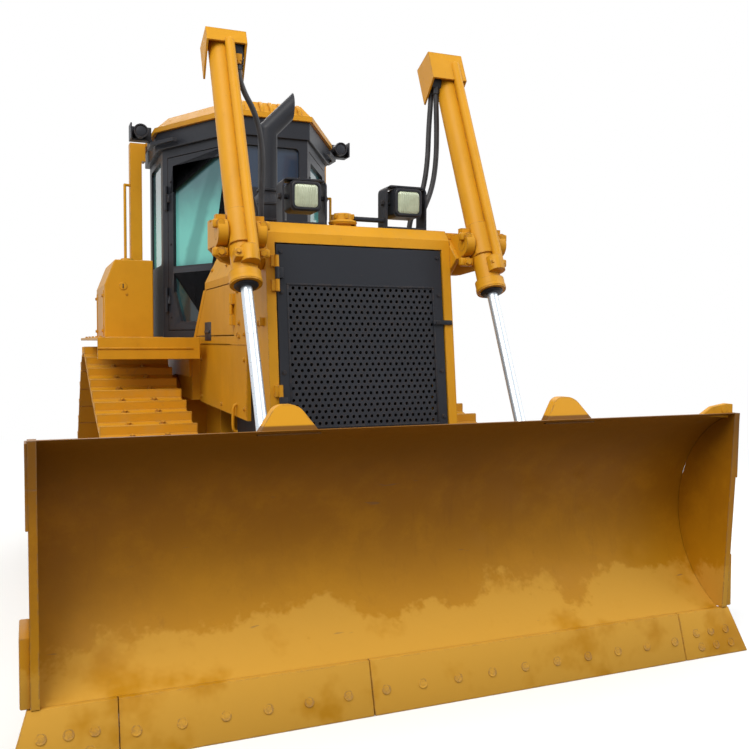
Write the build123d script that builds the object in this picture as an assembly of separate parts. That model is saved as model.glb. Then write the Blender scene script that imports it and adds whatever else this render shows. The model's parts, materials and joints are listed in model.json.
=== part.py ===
from math import atan2, cos, degrees, hypot, pi, radians, sin, sqrt, tan
import os

from build123d import *

os.makedirs("parts", exist_ok=True)

# Crawler bulldozer with a straight blade. Millimetres, +Z up, front towards -Y,
# origin on the ground below the middle of the whole machine's box.

# Clearances shared by every fit
seat_gap = 0.3
pin_gap = 0.5
door_gap = 6.0
sheet_gap = 1.0

# Tracks
track_gauge = 1880.0
shoe_width = 560.0
shoe_count = 38
shoe_plate = 12.0
grouser_height = 65.0
link_half_height = 49.0
link_inner = 48.0
link_outer = 92.0
idler_spacing = 2610.0
idler_pitch_radius = 330.0
sprocket_pitch_radius = 404.0
sprocket_y = 680.0
sprocket_z = 980.0
upper_run_sag = 45.0
sprocket_teeth = 25
sprocket_width = 66.0
sprocket_tip = 28.0
sprocket_root = 30.0
roller_count = 7
roller_spacing = 305.0
roller_radius = 102.0
roller_shaft_radius = 38.0

# Track frames
frame_half_width = 128.0
frame_wall = 20.0
frame_beam_low = 385.0
frame_beam_high = 490.0
frame_skirt_low = 235.0
fork_reach = 95.0
fork_height = 120.0
trunnion_y = 250.0
trunnion_z = 480.0
trunnion_radius = 45.0
width_over_trunnions = 2640.0

# Main case and belly
case_half_width = 380.0
case_rear = 1760.0
case_front = -100.0
case_low = 430.0
case_high = 1180.0
ground_clearance = 383.0
belly_plate = 20.0
belly_front = -1560.0
rail_width = 90.0
rail_low = 520.0
rail_high = 760.0
final_drive_radius = 290.0
final_drive_reach = 1000.0
hub_cap_radius = 225.0
hub_cap_depth = 55.0
pivot_shaft_radius = 70.0
pivot_shaft_y = 620.0
equalizer_y = -890.0
equalizer_width = 120.0
equalizer_height = 90.0
platform_half_width = 555.0
platform_front = 0.0
platform_rear = 1480.0

# Fenders
fender_outer = 1190.0
fender_front = -300.0
deck_top = 1545.0
deck_plate = 20.0
fender_skirt = 140.0

# Radiator guard and grille
guard_half_width = 507.0
guard_rear = -1560.0
guard_low = 600.0
guard_high = 2117.0
guard_front_top = -1745.0
guard_lean = 0.112
guard_corner = 45.0
grille_half_width = 452.0
grille_low = 1070.0
grille_high = 2003.0
grille_thickness = 40.0
grille_hole = 44.0
grille_columns = 9
grille_rows = 11
grille_pitch_x = 82.0
grille_pitch_z = 66.0
grille_band = 175.0
core_depth = 90.0

# Engine enclosure
hood_half_width = 500.0
hood_top = 2110.0
hood_shoulder = 1905.0
hood_crown_half_width = 400.0
hood_flange_low = 1860.0
hood_rear = -185.0
hood_wall = 22.0
sheet_front = -1350.0
sheet_low = 1090.0
sheet_sill = 1511.0
sheet_rear_high = (-265.0, 1972.0)
sheet_rear_low = (264.0, 1529.0)
sheet_flange = 60.0
engine_door_front = -1040.0
engine_door_low = 1552.0
engine_half_width = 330.0
engine_front = -1500.0
engine_rear = -360.0
engine_high = 1800.0
cowl_front = -330.0
cowl_half_width = 300.0
cowl_low = 1190.0

# Hinges
knuckle_radius = 11.0
knuckle_length = 60.0
hinge_offset = 17.0
hinge_leaf = 28.0
hinge_leaf_thickness = 6.0
leaf_inset = 3.0

# Cab
cab_front = -20.0
cab_front_half = 265.0
cab_side_y = 700.0
cab_side_half = 640.0
cab_rear = 1400.0
cab_wall = 50.0
cab_low = 1550.0
cab_high = 2940.0
cab_floor = 40.0
windscreen_half = 205.0
windscreen_low = 2590.0
window_high = 2880.0
window_low = 2100.0
glass_thickness = 8.0
door_low = 1600.0
door_post = 60.0
door_rail = 60.0
door_waist = 2050.0
door_waist_half = 25.0
door_cut_reach = 236.0
door_cut_rise = 204.0
window_cut_run = 86.0
window_cut_rise = 219.0
handle_radius = 9.0
handle_foot_radius = 6.5
handle_stand = 38.0
roof_high = 3194.0
dash_high = 2450.0
roof_plate = 90.0
roof_half = 700.0
roof_front = -110.0
roof_rear = 1460.0
roof_crown_inset = 110.0
roof_crown_taper = 42.0
louvre_count = 7
louvre_pitch = 150.0

# Rollover posts, tanks and boxes
post_half_width = 45.0
post_x = 775.0
post_y = 1250.0
post_depth = 100.0
post_high = 3095.0
beam_low = 2955.0
rail_x = 862.0
rail_y = 1205.0
rail_foot = 2170.0
rail_head = 2760.0
rail_radius = 11.0
tank_inner = 712.0
tank_outer = 1064.0
tank_front = 720.0
tank_rear = 1480.0
tank_high = 2125.0
tank_chamfer = 75.0
tank_chamfer_drop = 190.0
fuel_half_width = 640.0
fuel_front = 1500.0
fuel_rear = 1960.0
fuel_high = 2080.0
fuel_round = 70.0
filler_x = 430.0
filler_y = 1640.0
filler_radius = 55.0
drawbar_rear = 2090.0
drawbar_width = 110.0
drawbar_low = 400.0
drawbar_high = 470.0
drawbar_hole = 27.0
mount_hole = 13.0
mount_hole_depth = 60.0
mount_hole_x = 300.0
mount_hole_low = 760.0
mount_hole_high = 1100.0

# Exhaust and lamps
stack_x = -235.0
stack_y = -800.0
stack_radius = 58.0
stack_bend = 2790.0
stack_tip = (-80.0, -800.0, 2950.0)
muffler_radius = 112.0
muffler_low = 2160.0
muffler_high = 2410.0
lamp_x = 282.0
lamp_y = -1690.0
lamp_width = 160.0
lamp_height = 150.0
lamp_depth = 130.0
lamp_foot = 62.0
lamp_frame_half = 118.0
lamp_frame_high = 2345.0
lamp_frame_plate = 10.0
lamp_frame_depth = 112.0
cap_x = -53.0
cap_y = -1625.0
cap_radius = 52.0
cap_high = 2180.0
lamp_tube_z = 2192.0
lamp_tube_radius = 13.0
work_lamp_y = 790.0
work_lamp_z = 3085.0
work_lamp_reach = 865.0

# Lift cylinders
lift_x = 650.0
lift_pivot_y = -1848.0
lift_pivot_z = 2033.0
rod_eye_y = -2315.0
rod_eye_z = 970.0
barrel_radius = 62.0
barrel_above = 1180.0
barrel_below = 275.0
rod_inside = 250.0
bore_stop = 60.0
rod_radius = 27.5
rod_eye_radius = 60.0
rod_eye_bore = 34.0
rod_eye_width = 60.0
clevis_pin_radius = 25.0
clevis_plate = 25.0
clevis_round = 50.0
yoke_ear_width = 55.0
top_guard_over = 12.0
top_guard_back = 75.0
top_guard_front = 84.0
top_guard_lip_left = 164.0
top_guard_lip_right = 65.0
top_guard_skirt = 230.0
top_guard_wall = 10.0
top_guard_inner = 125.0
top_guard_outer = 85.0
yoke_reach = 140.0
yoke_pin_radius = 34.0
collar_radius = 72.0
collar_half = 105.0
collar_flat = 63.0
gland_radius = 76.0
gland_length = 60.0
oil_tube_radius = 25.0
oil_tube_side = 34.0
oil_tube_stand = 77.0
oil_block = 44.0
cap_half_height = 86.0

hose_radius = 13.0
hose_fitting_radius = 16.0

# Blade
blade_half_width = 1600.0
blade_top = 1177.0
blade_top_y = -2707.0
blade_bottom_y = -2615.0
blade_bottom_z = 205.0
blade_belly_y = -2330.0
blade_belly_z = 650.0
moldboard_plate = 25.0
end_plate = 30.0
edge_half_width = 1680.0
edge_thickness = 28.0
edge_foot_y = -2705.0
end_bit_width = 330.0
box_back = -2305.0
box_low = 90.0
box_high = 560.0
hump_half_width = 130.0
hump_top_half = 45.0
hump_high = 1272.0
arm_inner = 1240.0
arm_outer = 1330.0
arm_low = 190.0
arm_high = 450.0
brace_radius = 48.0
brace_foot_y = -1250.0
brace_foot_z = 570.0
brace_head_y = -2235.0
brace_head_z = 800.0
brace_eye_radius = 52.0
brace_eye_width = 50.0
brace_pin_radius = 22.0
brace_cheek = 18.0
tilt_radius = 58.0
tilt_barrel = 480.0

track_centre = track_gauge / 2
ground_to_pitch = link_half_height + grouser_height + 1.0
idler_z = ground_to_pitch + idler_pitch_radius
final_drive_top = sprocket_z + final_drive_radius
lift_length = hypot(rod_eye_y - lift_pivot_y, rod_eye_z - lift_pivot_z)
lift_dir = ((rod_eye_y - lift_pivot_y) / lift_length, (rod_eye_z - lift_pivot_z) / lift_length)


def block(x0, x1, y0, y1, z0, z1):
    solid = Box(x1 - x0, y1 - y0, z1 - z0, align=(Align.MIN, Align.MIN, Align.MIN))
    return Pos(x0, y0, z0) * solid


def side_prism(points, x0, x1):
    face = Plane.YZ.offset(x0) * Polygon(*points, align=None)
    return extrude(face, x1 - x0, dir=(1, 0, 0))


def front_prism(points, y0, y1):
    face = Plane.XZ.offset(-y0) * Polygon(*points, align=None)
    return extrude(face, y1 - y0, dir=(0, 1, 0))


def plan_prism(points, z0, z1):
    face = Plane.XY.offset(z0) * Polygon(*points, align=None)
    return extrude(face, z1 - z0, dir=(0, 0, 1))


def bar(start, end, radius):
    axis = Vector(*end) - Vector(*start)
    solid = Cylinder(radius, axis.length, align=(Align.CENTER, Align.CENTER, Align.MIN))
    return Plane(origin=start, z_dir=axis) * solid


def cross_bar(x0, x1, y, z, radius):
    return bar((x0, y, z), (x1, y, z), radius)


def mirrored(solid):
    return mirror(solid, about=Plane.YZ)


def group(*solids):
    return Compound(children=list(solids))


# A hinge barrel about an axis line, cut in thirds: the middle one turns with the door
def knuckle(axis_point, axis_dir, start, length):
    base = Vector(*axis_point) + Vector(*axis_dir) * start
    tip = base + Vector(*axis_dir) * length
    return bar(tuple(base), tuple(tip), knuckle_radius)


def moving_knuckle(axis_point, axis_dir, start):
    return knuckle(axis_point, axis_dir, start + pin_gap, knuckle_length - 2 * pin_gap)


def fixed_knuckles(axis_point, axis_dir, start):
    low = knuckle(axis_point, axis_dir, start - knuckle_length, knuckle_length)
    return low + knuckle(axis_point, axis_dir, start + knuckle_length, knuckle_length)


nodes = {}


# Track loop: pins at equal steps along the path round both idlers and the sprocket
def track_path():
    circles = [
        (-idler_spacing / 2, idler_z, idler_pitch_radius),
        (idler_spacing / 2, idler_z, idler_pitch_radius),
        (sprocket_y, sprocket_z, sprocket_pitch_radius),
    ]
    normals = []
    for index, (y0, z0, r0) in enumerate(circles):
        y1, z1, r1 = circles[(index + 1) % len(circles)]
        span = hypot(y1 - y0, z1 - z0)
        along = ((y1 - y0) / span, (z1 - z0) / span)
        lean = (r0 - r1) / span
        out = sqrt(1 - lean * lean)
        normals.append((along[0] * lean + along[1] * out, along[1] * lean - along[0] * out))
    path = []
    steps = 24
    for index, (y0, z0, r0) in enumerate(circles):
        n_in = normals[index - 1]
        n_out = normals[index]
        start = atan2(n_in[1], n_in[0])
        turn = (atan2(n_out[1], n_out[0]) - start) % (2 * pi)
        for step in range(steps):
            angle = start + turn * step / steps
            path.append((y0 + r0 * cos(angle), z0 + r0 * sin(angle)))
        y1, z1, r1 = circles[(index + 1) % len(circles)]
        sag = upper_run_sag if index == 2 else 0.0
        for step in range(steps):
            t = step / steps
            drop = 4 * sag * t * (1 - t)
            y = y0 + (y1 - y0) * t + (r0 + (r1 - r0) * t - drop) * n_out[0]
            z = z0 + (z1 - z0) * t + (r0 + (r1 - r0) * t - drop) * n_out[1]
            path.append((y, z))
    return path


def track_pins():
    path = track_path()
    closed = path + path[:1]
    lengths = [0.0]
    for (y0, z0), (y1, z1) in zip(closed, closed[1:]):
        lengths.append(lengths[-1] + hypot(y1 - y0, z1 - z0))
    pitch = lengths[-1] / shoe_count
    pins = []
    segment = 0
    for count in range(shoe_count):
        target = pitch * (count + 0.5)
        while lengths[segment + 1] < target:
            segment += 1
        t = (target - lengths[segment]) / (lengths[segment + 1] - lengths[segment])
        (y0, z0), (y1, z1) = closed[segment], closed[segment + 1]
        pins.append((y0 + (y1 - y0) * t, z0 + (z1 - z0) * t))
    return pins, pitch


track_pin_points, link_pitch = track_pins()
half_pitch = link_pitch / 2
idler_tread = sqrt(idler_pitch_radius**2 - half_pitch**2) - link_half_height - 1.0
sprocket_clear = sqrt(sprocket_pitch_radius**2 - half_pitch**2)


def link_outline(shape):
    outline = []
    for index, (y0, z0) in enumerate(track_pin_points):
        y1, z1 = track_pin_points[(index + 1) % shoe_count]
        span = hypot(y1 - y0, z1 - z0)
        along = ((y1 - y0) / span, (z1 - z0) / span)
        outward = (along[1], -along[0])
        for u, v in shape:
            u = u * half_pitch
            y = (y0 + y1) / 2 + along[0] * u + outward[0] * v
            z = (z0 + z1) / 2 + along[1] * u + outward[1] * v
            outline.append((y, z))
    return outline


def make_track():
    plate = link_half_height + 1.0
    tip = plate + grouser_height
    shoe = [(-0.96, plate + shoe_plate), (-0.87, tip), (-0.73, tip)]
    shoe += [(-0.6, plate + shoe_plate), (0.62, plate + shoe_plate), (0.95, plate + 2 * shoe_plate)]
    outer = Polygon(*link_outline(shoe), align=None)
    inner = Polygon(*link_outline([(-0.94, plate), (0.94, plate)]), align=None)
    band = Plane.YZ.offset(track_centre - shoe_width / 2) * (outer - inner)
    track = extrude(band, shoe_width, dir=(1, 0, 0))
    rail_outer = link_outline([(-0.94, plate + 2.0), (0.94, plate + 2.0)])
    rail_inner = link_outline([(-0.78, -link_half_height), (0.78, -link_half_height)])
    rail = Polygon(*rail_outer, align=None) - Polygon(*rail_inner, align=None)
    for start in (track_centre - link_outer, track_centre + link_inner):
        track += extrude(Plane.YZ.offset(start) * rail, link_outer - link_inner, dir=(1, 0, 0))
    return track


def make_track_frame():
    x0 = track_centre - frame_half_width
    x1 = track_centre + frame_half_width
    beam_end = idler_spacing / 2 - idler_tread - 40.0
    beam = [(-beam_end, frame_beam_low), (beam_end, frame_beam_low), (beam_end, frame_beam_high)]
    beam.append((-beam_end, frame_beam_high))
    frame = side_prism(beam, x0, x1)
    fork_end = idler_spacing / 2 + fork_reach
    fork_low = idler_z - fork_height / 2
    fork_high = idler_z + fork_height / 2
    for side in (x0, x1 - frame_wall):
        skirt_end = beam_end - 30.0
        skirt = [(-skirt_end, frame_skirt_low), (skirt_end, frame_skirt_low)]
        skirt += [(beam_end, frame_beam_low), (-beam_end, frame_beam_low)]
        frame += side_prism(skirt, side, side + frame_wall)
        for end in (-1, 1):
            fork = [(end * (beam_end - 10.0), fork_low), (end * fork_end, fork_low)]
            fork += [(end * fork_end, fork_high), (end * (beam_end - 10.0), fork_high)]
            frame += side_prism(fork, side, side + frame_wall)
    frame += cross_bar(x1 - frame_wall, width_over_trunnions / 2, trunnion_y, trunnion_z, trunnion_radius)
    seat = [(trunnion_y - 130, frame_beam_low), (trunnion_y + 130, frame_beam_low)]
    seat += [(trunnion_y + 80, trunnion_z + 70), (trunnion_y - 80, trunnion_z + 70)]
    frame += side_prism(seat, x1 - frame_wall, x1 + 40)
    return frame


def make_roller(y, z, tread, flange, shaft):
    half = frame_half_width - frame_wall - seat_gap
    x0 = track_centre - half
    x1 = track_centre + half
    roller = cross_bar(track_centre - link_outer, track_centre + link_outer, y, z, tread)
    guide = link_inner - 4.0
    roller += cross_bar(track_centre - guide, track_centre + guide, y, z, flange)
    roller += cross_bar(x0, x1, y, z, shaft)
    return roller


def make_rollers():
    rollers = []
    low = ground_to_pitch + link_half_height + seat_gap + roller_radius
    for count in range(roller_count):
        y = (count - (roller_count - 1) / 2) * roller_spacing
        rollers.append(make_roller(y, low, roller_radius, roller_radius + 16, roller_shaft_radius))
    for end in (-1, 1):
        y = end * idler_spacing / 2
        rollers.append(make_roller(y, idler_z, idler_tread, idler_tread + 18, 45.0))
    return rollers


def make_sprocket():
    tip = sprocket_pitch_radius + sprocket_tip
    root = sprocket_pitch_radius - sprocket_root
    step = 2 * pi / sprocket_teeth
    outline = []
    for tooth in range(sprocket_teeth):
        for share, radius in ((-0.34, root), (-0.14, tip), (0.14, tip), (0.34, root)):
            angle = (tooth + share) * step
            outline.append((sprocket_y + radius * cos(angle), sprocket_z + radius * sin(angle)))
    x0 = track_centre - sprocket_width / 2
    ring = side_prism(outline, x0, x0 + sprocket_width)
    hub = cross_bar(x0 - 10, x0 + sprocket_width + 10, sprocket_y, sprocket_z, final_drive_radius + seat_gap)
    return ring - hub


track = make_track()
nodes["track_left"] = track
nodes["track_right"] = mirrored(track)
track_frame = make_track_frame()
nodes["track_frame_left"] = track_frame
nodes["track_frame_right"] = mirrored(track_frame)
roller_set = make_rollers()
nodes["rollers"] = group(*roller_set, *[mirrored(roller) for roller in roller_set])
sprocket = make_sprocket()
nodes["sprockets"] = group(sprocket, mirrored(sprocket))


def make_main_frame():
    frame = block(-case_half_width, case_half_width, case_front, case_rear, case_low, case_high)
    frame += block(-platform_half_width, platform_half_width, platform_front, platform_rear,
                   case_high - 60, deck_top - deck_plate)
    frame += block(-case_half_width, case_half_width, belly_front, case_rear,
                   ground_clearance, ground_clearance + belly_plate)
    frame += block(-case_half_width, case_half_width, case_front, case_rear,
                   ground_clearance, case_low)
    for side in (-case_half_width, case_half_width - rail_width):
        frame += block(side, side + rail_width, belly_front, case_front, rail_low, rail_high)
        frame += block(side, side + belly_plate, belly_front, case_front, ground_clearance, rail_low)
    frame += block(-case_half_width, case_half_width, equalizer_y - 140, equalizer_y + 140, rail_low, rail_low + 110)
    reach = track_centre + 40
    low = frame_beam_high + seat_gap
    frame += block(-reach, reach, equalizer_y - equalizer_width / 2, equalizer_y + equalizer_width / 2,
                   low, low + equalizer_height)
    inner = track_centre - frame_half_width - seat_gap
    shaft_z = (frame_beam_low + frame_beam_high) / 2
    frame += cross_bar(-inner, inner, pivot_shaft_y, shaft_z, pivot_shaft_radius)
    frame += cross_bar(-final_drive_reach, final_drive_reach, sprocket_y, sprocket_z, final_drive_radius)
    for x in (-mount_hole_x, mount_hole_x):
        for z in (mount_hole_low, mount_hole_high):
            frame -= bar((x, case_rear - mount_hole_depth, z), (x, case_rear + 5, z), mount_hole)
    cap = final_drive_reach + hub_cap_depth
    frame += cross_bar(-cap, cap, sprocket_y, sprocket_z, hub_cap_radius)
    return frame


def make_fender():
    inner = platform_half_width + seat_gap
    deck_low = deck_top - deck_plate
    fender = block(inner, fender_outer, fender_front, platform_rear, deck_low, deck_top)
    fender += block(inner, fender_outer, fender_front, fender_front + deck_plate,
                    deck_top - fender_skirt, deck_top)
    fender += block(inner, inner + deck_plate, platform_front, platform_rear, final_drive_top + 5, deck_low)
    fender += block(inner, inner + deck_plate, fender_front, platform_front, deck_top - fender_skirt, deck_low)
    return fender


nodes["main_frame"] = make_main_frame()
fender = make_fender()
nodes["fenders"] = group(fender, mirrored(fender))


def make_drawbar():
    bracket = block(-190, 190, case_rear + seat_gap, case_rear + 120, ground_clearance, 700)
    tongue = block(-drawbar_width / 2, drawbar_width / 2, case_rear + 100, drawbar_rear - 55,
                   drawbar_low, drawbar_high)
    nose = Pos(0, drawbar_rear - 55, drawbar_low) * Cylinder(
        55, drawbar_high - drawbar_low, align=(Align.CENTER, Align.CENTER, Align.MIN))
    hole = Pos(0, drawbar_rear - 60, drawbar_low - 5) * Cylinder(
        drawbar_hole, drawbar_high - drawbar_low + 10, align=(Align.CENTER, Align.CENTER, Align.MIN))
    return bracket + tongue + nose - hole


nodes["drawbar"] = make_drawbar()


# Radiator guard: its front leans back a little towards the top
def guard_front(z):
    return guard_front_top - (guard_high - z) * guard_lean


lean_length = hypot(1.0, guard_lean)
grille_axis = (0.0, guard_lean / lean_length, 1.0 / lean_length)
grille_hinge_x = grille_half_width + door_gap / 2
grille_hinge_base = (-grille_hinge_x, guard_front(grille_low) - hinge_offset, grille_low)
grille_hinge_starts = (120.0, 760.0)


def make_radiator_guard():
    outline = [(guard_front(guard_low), guard_low), (guard_front(2060), 2060)]
    outline += [(guard_front(guard_high) + guard_corner, guard_high), (guard_rear, guard_high)]
    outline.append((guard_rear, guard_low))
    guard = side_prism(outline, -guard_half_width, guard_half_width)
    for start in grille_hinge_starts:
        guard += fixed_knuckles(grille_hinge_base, grille_axis, start)
        for lift in (start - knuckle_length, start + knuckle_length):
            z0 = grille_low + lift * grille_axis[2] + leaf_inset
            z1 = z0 + knuckle_length * grille_axis[2] - 2 * leaf_inset
            leaf = [(guard_front(z0) - hinge_offset, z0), (guard_front(z0) + 5, z0)]
            leaf += [(guard_front(z1) + 5, z1), (guard_front(z1) - hinge_offset, z1)]
            guard += side_prism(leaf, -grille_hinge_x - hinge_leaf, -grille_hinge_x - 1)
    opening = grille_half_width + door_gap
    mouth = [(guard_front(grille_low - door_gap) - 1, grille_low - door_gap), (guard_rear + 10, grille_low - door_gap)]
    mouth += [(guard_rear + 10, grille_high + door_gap), (guard_front(grille_high + door_gap) - 1, grille_high + door_gap)]
    guard -= side_prism(mouth, -opening, opening)
    return guard


def make_grille_door():
    low = grille_low
    high = grille_high
    outline = [(guard_front(low) + 4, low), (guard_front(high) + 4, high)]
    outline += [(guard_front(high) + 4 + grille_thickness, high)]
    outline += [(guard_front(low) + 4 + grille_thickness, low)]
    door = side_prism(outline, -grille_half_width, grille_half_width)
    half = grille_hole / 2
    for row in range(grille_rows):
        z = high - grille_band - row * grille_pitch_z
        shift = grille_pitch_x / 2 if row % 2 else 0.0
        count = grille_columns - row % 2
        for column in range(count):
            x = (column - (grille_columns - 1) / 2) * grille_pitch_x + shift
            hole = [(x, z - half), (x + half, z), (x, z + half), (x - half, z)]
            door -= front_prism(hole, -2200, guard_rear)
    leaf_y = hinge_offset + 4 + hinge_leaf_thickness
    for start in grille_hinge_starts:
        z = low + start * grille_axis[2] + leaf_inset
        y = guard_front(z) - hinge_offset
        leaf = [(y - hinge_leaf_thickness, z), (y + leaf_y, z)]
        z_top = z + knuckle_length * grille_axis[2] - 2 * leaf_inset
        leaf += [(guard_front(z_top) - hinge_offset + leaf_y, z_top)]
        leaf += [(guard_front(z_top) - hinge_offset - hinge_leaf_thickness, z_top)]
        door += side_prism(leaf, -grille_half_width, -grille_half_width + hinge_leaf)
        door += moving_knuckle(grille_hinge_base, grille_axis, start)
    return door


def make_core():
    half = grille_half_width + door_gap - seat_gap
    return block(-half, half, guard_rear - core_depth, guard_rear,
                 grille_low - door_gap + seat_gap, grille_high + door_gap - seat_gap)


nodes["radiator_guard"] = make_radiator_guard()
nodes["grille_door"] = make_grille_door()
nodes["radiator_core"] = make_core()


# Two hoses a side hang from the barrel's top down to the hood behind the lamps
hose_routes = {
    "hose_left_front": [(572, -1452, 2985), (572, -1452, 2900), (583, -1442, 2740), (586, -1432, 2560),
                        (562, -1432, 2400), (506, -1436, 2270), (470, -1440, 2200), (470, -1440, 2116)],
    "hose_left_rear": [(560, -1414, 3003), (560, -1414, 2910), (549, -1408, 2740), (548, -1398, 2560),
                       (526, -1392, 2400), (476, -1392, 2275), (432, -1396, 2200), (432, -1396, 2116)],
    "hose_right_front": [(-568, -1452, 2985), (-568, -1452, 2910), (-534, -1450, 2810), (-482, -1446, 2730),
                         (-444, -1440, 2610), (-430, -1436, 2450), (-444, -1440, 2270), (-444, -1440, 2116)],
    "hose_right_rear": [(-558, -1414, 3003), (-558, -1414, 2900), (-566, -1404, 2740), (-560, -1394, 2570),
                        (-530, -1388, 2420), (-484, -1388, 2290), (-448, -1390, 2205), (-448, -1390, 2116)],
}


# Engine enclosure: hood, side sheets with a slanted rear edge, cowl, and a door on each side
hood_front = guard_rear + seat_gap
sheet_slope = (sheet_rear_low[0] - sheet_rear_high[0]) / (sheet_rear_high[1] - sheet_rear_low[1])


def sheet_rear(z, inset):
    return sheet_rear_low[0] + (sheet_rear_low[1] - z) * sheet_slope - inset * hypot(1.0, sheet_slope)


def hood_section(shrink):
    half = hood_half_width - shrink
    crown = hood_crown_half_width - shrink * 0.5
    low = hood_flange_low if shrink == 0 else hood_flange_low - 10
    return [(-half, low), (half, low), (half, hood_shoulder), (crown, hood_top - shrink),
            (-crown, hood_top - shrink), (-half, hood_shoulder)]


def make_hood():
    shell = front_prism(hood_section(0.0), hood_front, hood_rear)
    shell -= front_prism(hood_section(hood_wall), hood_front - 10, hood_rear + 10)
    for route in hose_routes.values():
        x, y, z = route[-1]
        slope = (hood_half_width - abs(x)) / (hood_half_width - hood_crown_half_width)
        foot = hood_shoulder + slope * (hood_top - hood_shoulder) - hood_wall
        shell += bar((x, y, foot), (x, y, z - seat_gap), hose_fitting_radius)
    return shell


def make_side_sheet():
    high = hood_flange_low - seat_gap
    platform = platform_front - seat_gap
    outline = [(hood_front, sheet_sill), (sheet_front, sheet_sill), (sheet_front, sheet_low)]
    outline += [(platform, sheet_low + 20), (platform, deck_top - deck_plate + seat_gap)]
    outline += [sheet_rear_low, (sheet_rear(high, 0.0), high), (hood_front, high)]
    sheet = side_prism(outline, hood_half_width - hood_wall, hood_half_width)
    opening = [(engine_door_front, engine_door_low), (sheet_rear(engine_door_low, sheet_flange), engine_door_low)]
    opening += [(sheet_rear(high + 10, sheet_flange), high + 10), (engine_door_front, high + 10)]
    sheet -= side_prism(opening, hood_half_width - hood_wall - 5, hood_half_width + 5)
    for start in engine_hinge_starts:
        sheet += fixed_knuckles(engine_hinge_base, (0, 0, 1), start)
        low = engine_door_low + start
        for z0 in (low - knuckle_length, low + knuckle_length):
            sheet += block(hood_half_width - 2, engine_hinge_base[0], engine_hinge_base[1] - hinge_leaf,
                           engine_hinge_base[1] - 1, z0, z0 + knuckle_length)
    return sheet


engine_hinge_base = (hood_half_width + hinge_offset, engine_door_front + door_gap / 2, engine_door_low)
engine_hinge_starts = (120.0,)


def make_engine_door():
    low = engine_door_low + door_gap
    high = hood_flange_low - door_gap
    inset = sheet_flange + door_gap
    outline = [(engine_door_front + door_gap, low), (sheet_rear(low, inset), low)]
    outline += [(sheet_rear(high, inset), high), (engine_door_front + door_gap, high)]
    door = side_prism(outline, hood_half_width - hood_wall, hood_half_width)
    for start in engine_hinge_starts:
        z0 = engine_door_low + start + pin_gap
        door += moving_knuckle(engine_hinge_base, (0, 0, 1), start)
        door += block(hood_half_width - 2, engine_hinge_base[0] + 2, engine_hinge_base[1] + 1,
                      engine_hinge_base[1] + hinge_leaf, z0, z0 + knuckle_length - 2 * pin_gap)
    return door


def make_cowl():
    rear = cab_front - seat_gap
    half = hood_half_width - hood_wall - door_gap
    high = hood_shoulder - 5
    outline = [(cowl_front, cowl_low), (cowl_front, high), (sheet_rear(high, 0.0), high)]
    outline += [(rear, sheet_rear_low[1] + (sheet_rear_low[0] - rear) / sheet_slope), (rear, cowl_low)]
    cowl = side_prism(outline, -half, half)
    return cowl + block(-cowl_half_width, cowl_half_width, cowl_front, rear, cowl_low, hood_top - hood_wall - sheet_gap)


nodes["hood"] = make_hood()
side_sheet = make_side_sheet()
nodes["side_sheets"] = group(side_sheet, mirrored(side_sheet))
engine_door = make_engine_door()
nodes["engine_door_left"] = engine_door
nodes["engine_door_right"] = mirrored(engine_door)
nodes["cowl"] = make_cowl()
nodes["engine_block"] = block(-engine_half_width, engine_half_width, engine_front, engine_rear,
                              rail_high + seat_gap, engine_high)


def make_stack():
    base = (stack_x, stack_y, hood_top + seat_gap)
    bend = (stack_x, stack_y, stack_bend)
    reach = (stack_tip[0] + stack_radius, stack_y, stack_tip[2] + stack_radius)
    stack = bar(base, bend, stack_radius)
    stack += Pos(*bend) * Sphere(stack_radius)
    stack += bar(bend, reach, stack_radius)
    stack -= block(stack_tip[0], stack_tip[0] + 300, stack_y - 100, stack_y + 100, stack_bend - 20, stack_bend + 400)
    stack += bar(base, (stack_x, stack_y, muffler_low), stack_radius + 22)
    stack += Pos(stack_x, stack_y, muffler_low) * Cone(stack_radius + 22, muffler_radius, 70,
                                                       align=(Align.CENTER, Align.CENTER, Align.MIN))
    stack += bar((stack_x, stack_y, muffler_low + 70), (stack_x, stack_y, muffler_high - 60), muffler_radius)
    stack += Pos(stack_x, stack_y, muffler_high - 60) * Cone(muffler_radius, stack_radius + 4, 60,
                                                             align=(Align.CENTER, Align.CENTER, Align.MIN))
    return stack


nodes["exhaust_stack"] = make_stack()


# Cab: a narrow front, doors on the slanting sides and straight sides behind them
def cab_plan(shrink):
    front = cab_front + shrink
    rear = cab_rear - shrink
    half_front = cab_front_half - shrink * 0.62
    half_side = cab_side_half - shrink
    side_y = cab_side_y + shrink * 0.24
    return [(-half_front, front), (half_front, front), (half_side, side_y), (half_side, rear),
            (-half_side, rear), (-half_side, side_y)]


slant = degrees(atan2(cab_side_y - cab_front, cab_side_half - cab_front_half))
slant_length = hypot(cab_side_y - cab_front, cab_side_half - cab_front_half)


def on_slant(solid):
    return Pos(cab_front_half, cab_front, 0) * Rot(0, 0, slant) * solid


cab_hinge_local = (slant_length - door_post - door_gap / 2, -hinge_offset, door_low)
cab_hinge_starts = (200.0, 950.0)


# The door's outline along the slanted wall, cut at its lower front corner to clear the side sheets
def door_outline(grow, high):
    lean = door_cut_reach / door_cut_rise
    front = door_post + door_gap
    low = door_low + door_gap
    foot = front + door_cut_reach - grow * hypot(1.0, lean) + grow * lean
    head = low + (door_cut_reach - grow * hypot(1.0, lean) + grow) / lean
    rear = slant_length - front + grow
    return [(front - grow, head), (front - grow, high), (rear, high), (rear, low - grow), (foot, low - grow)]


def lower_window(inset):
    outline = door_outline(-door_rail - inset, door_waist - door_waist_half - inset)
    rear, low = outline[3]
    return outline[:3] + [(rear, low + window_cut_rise), (rear - window_cut_run, low), outline[4]]


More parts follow.
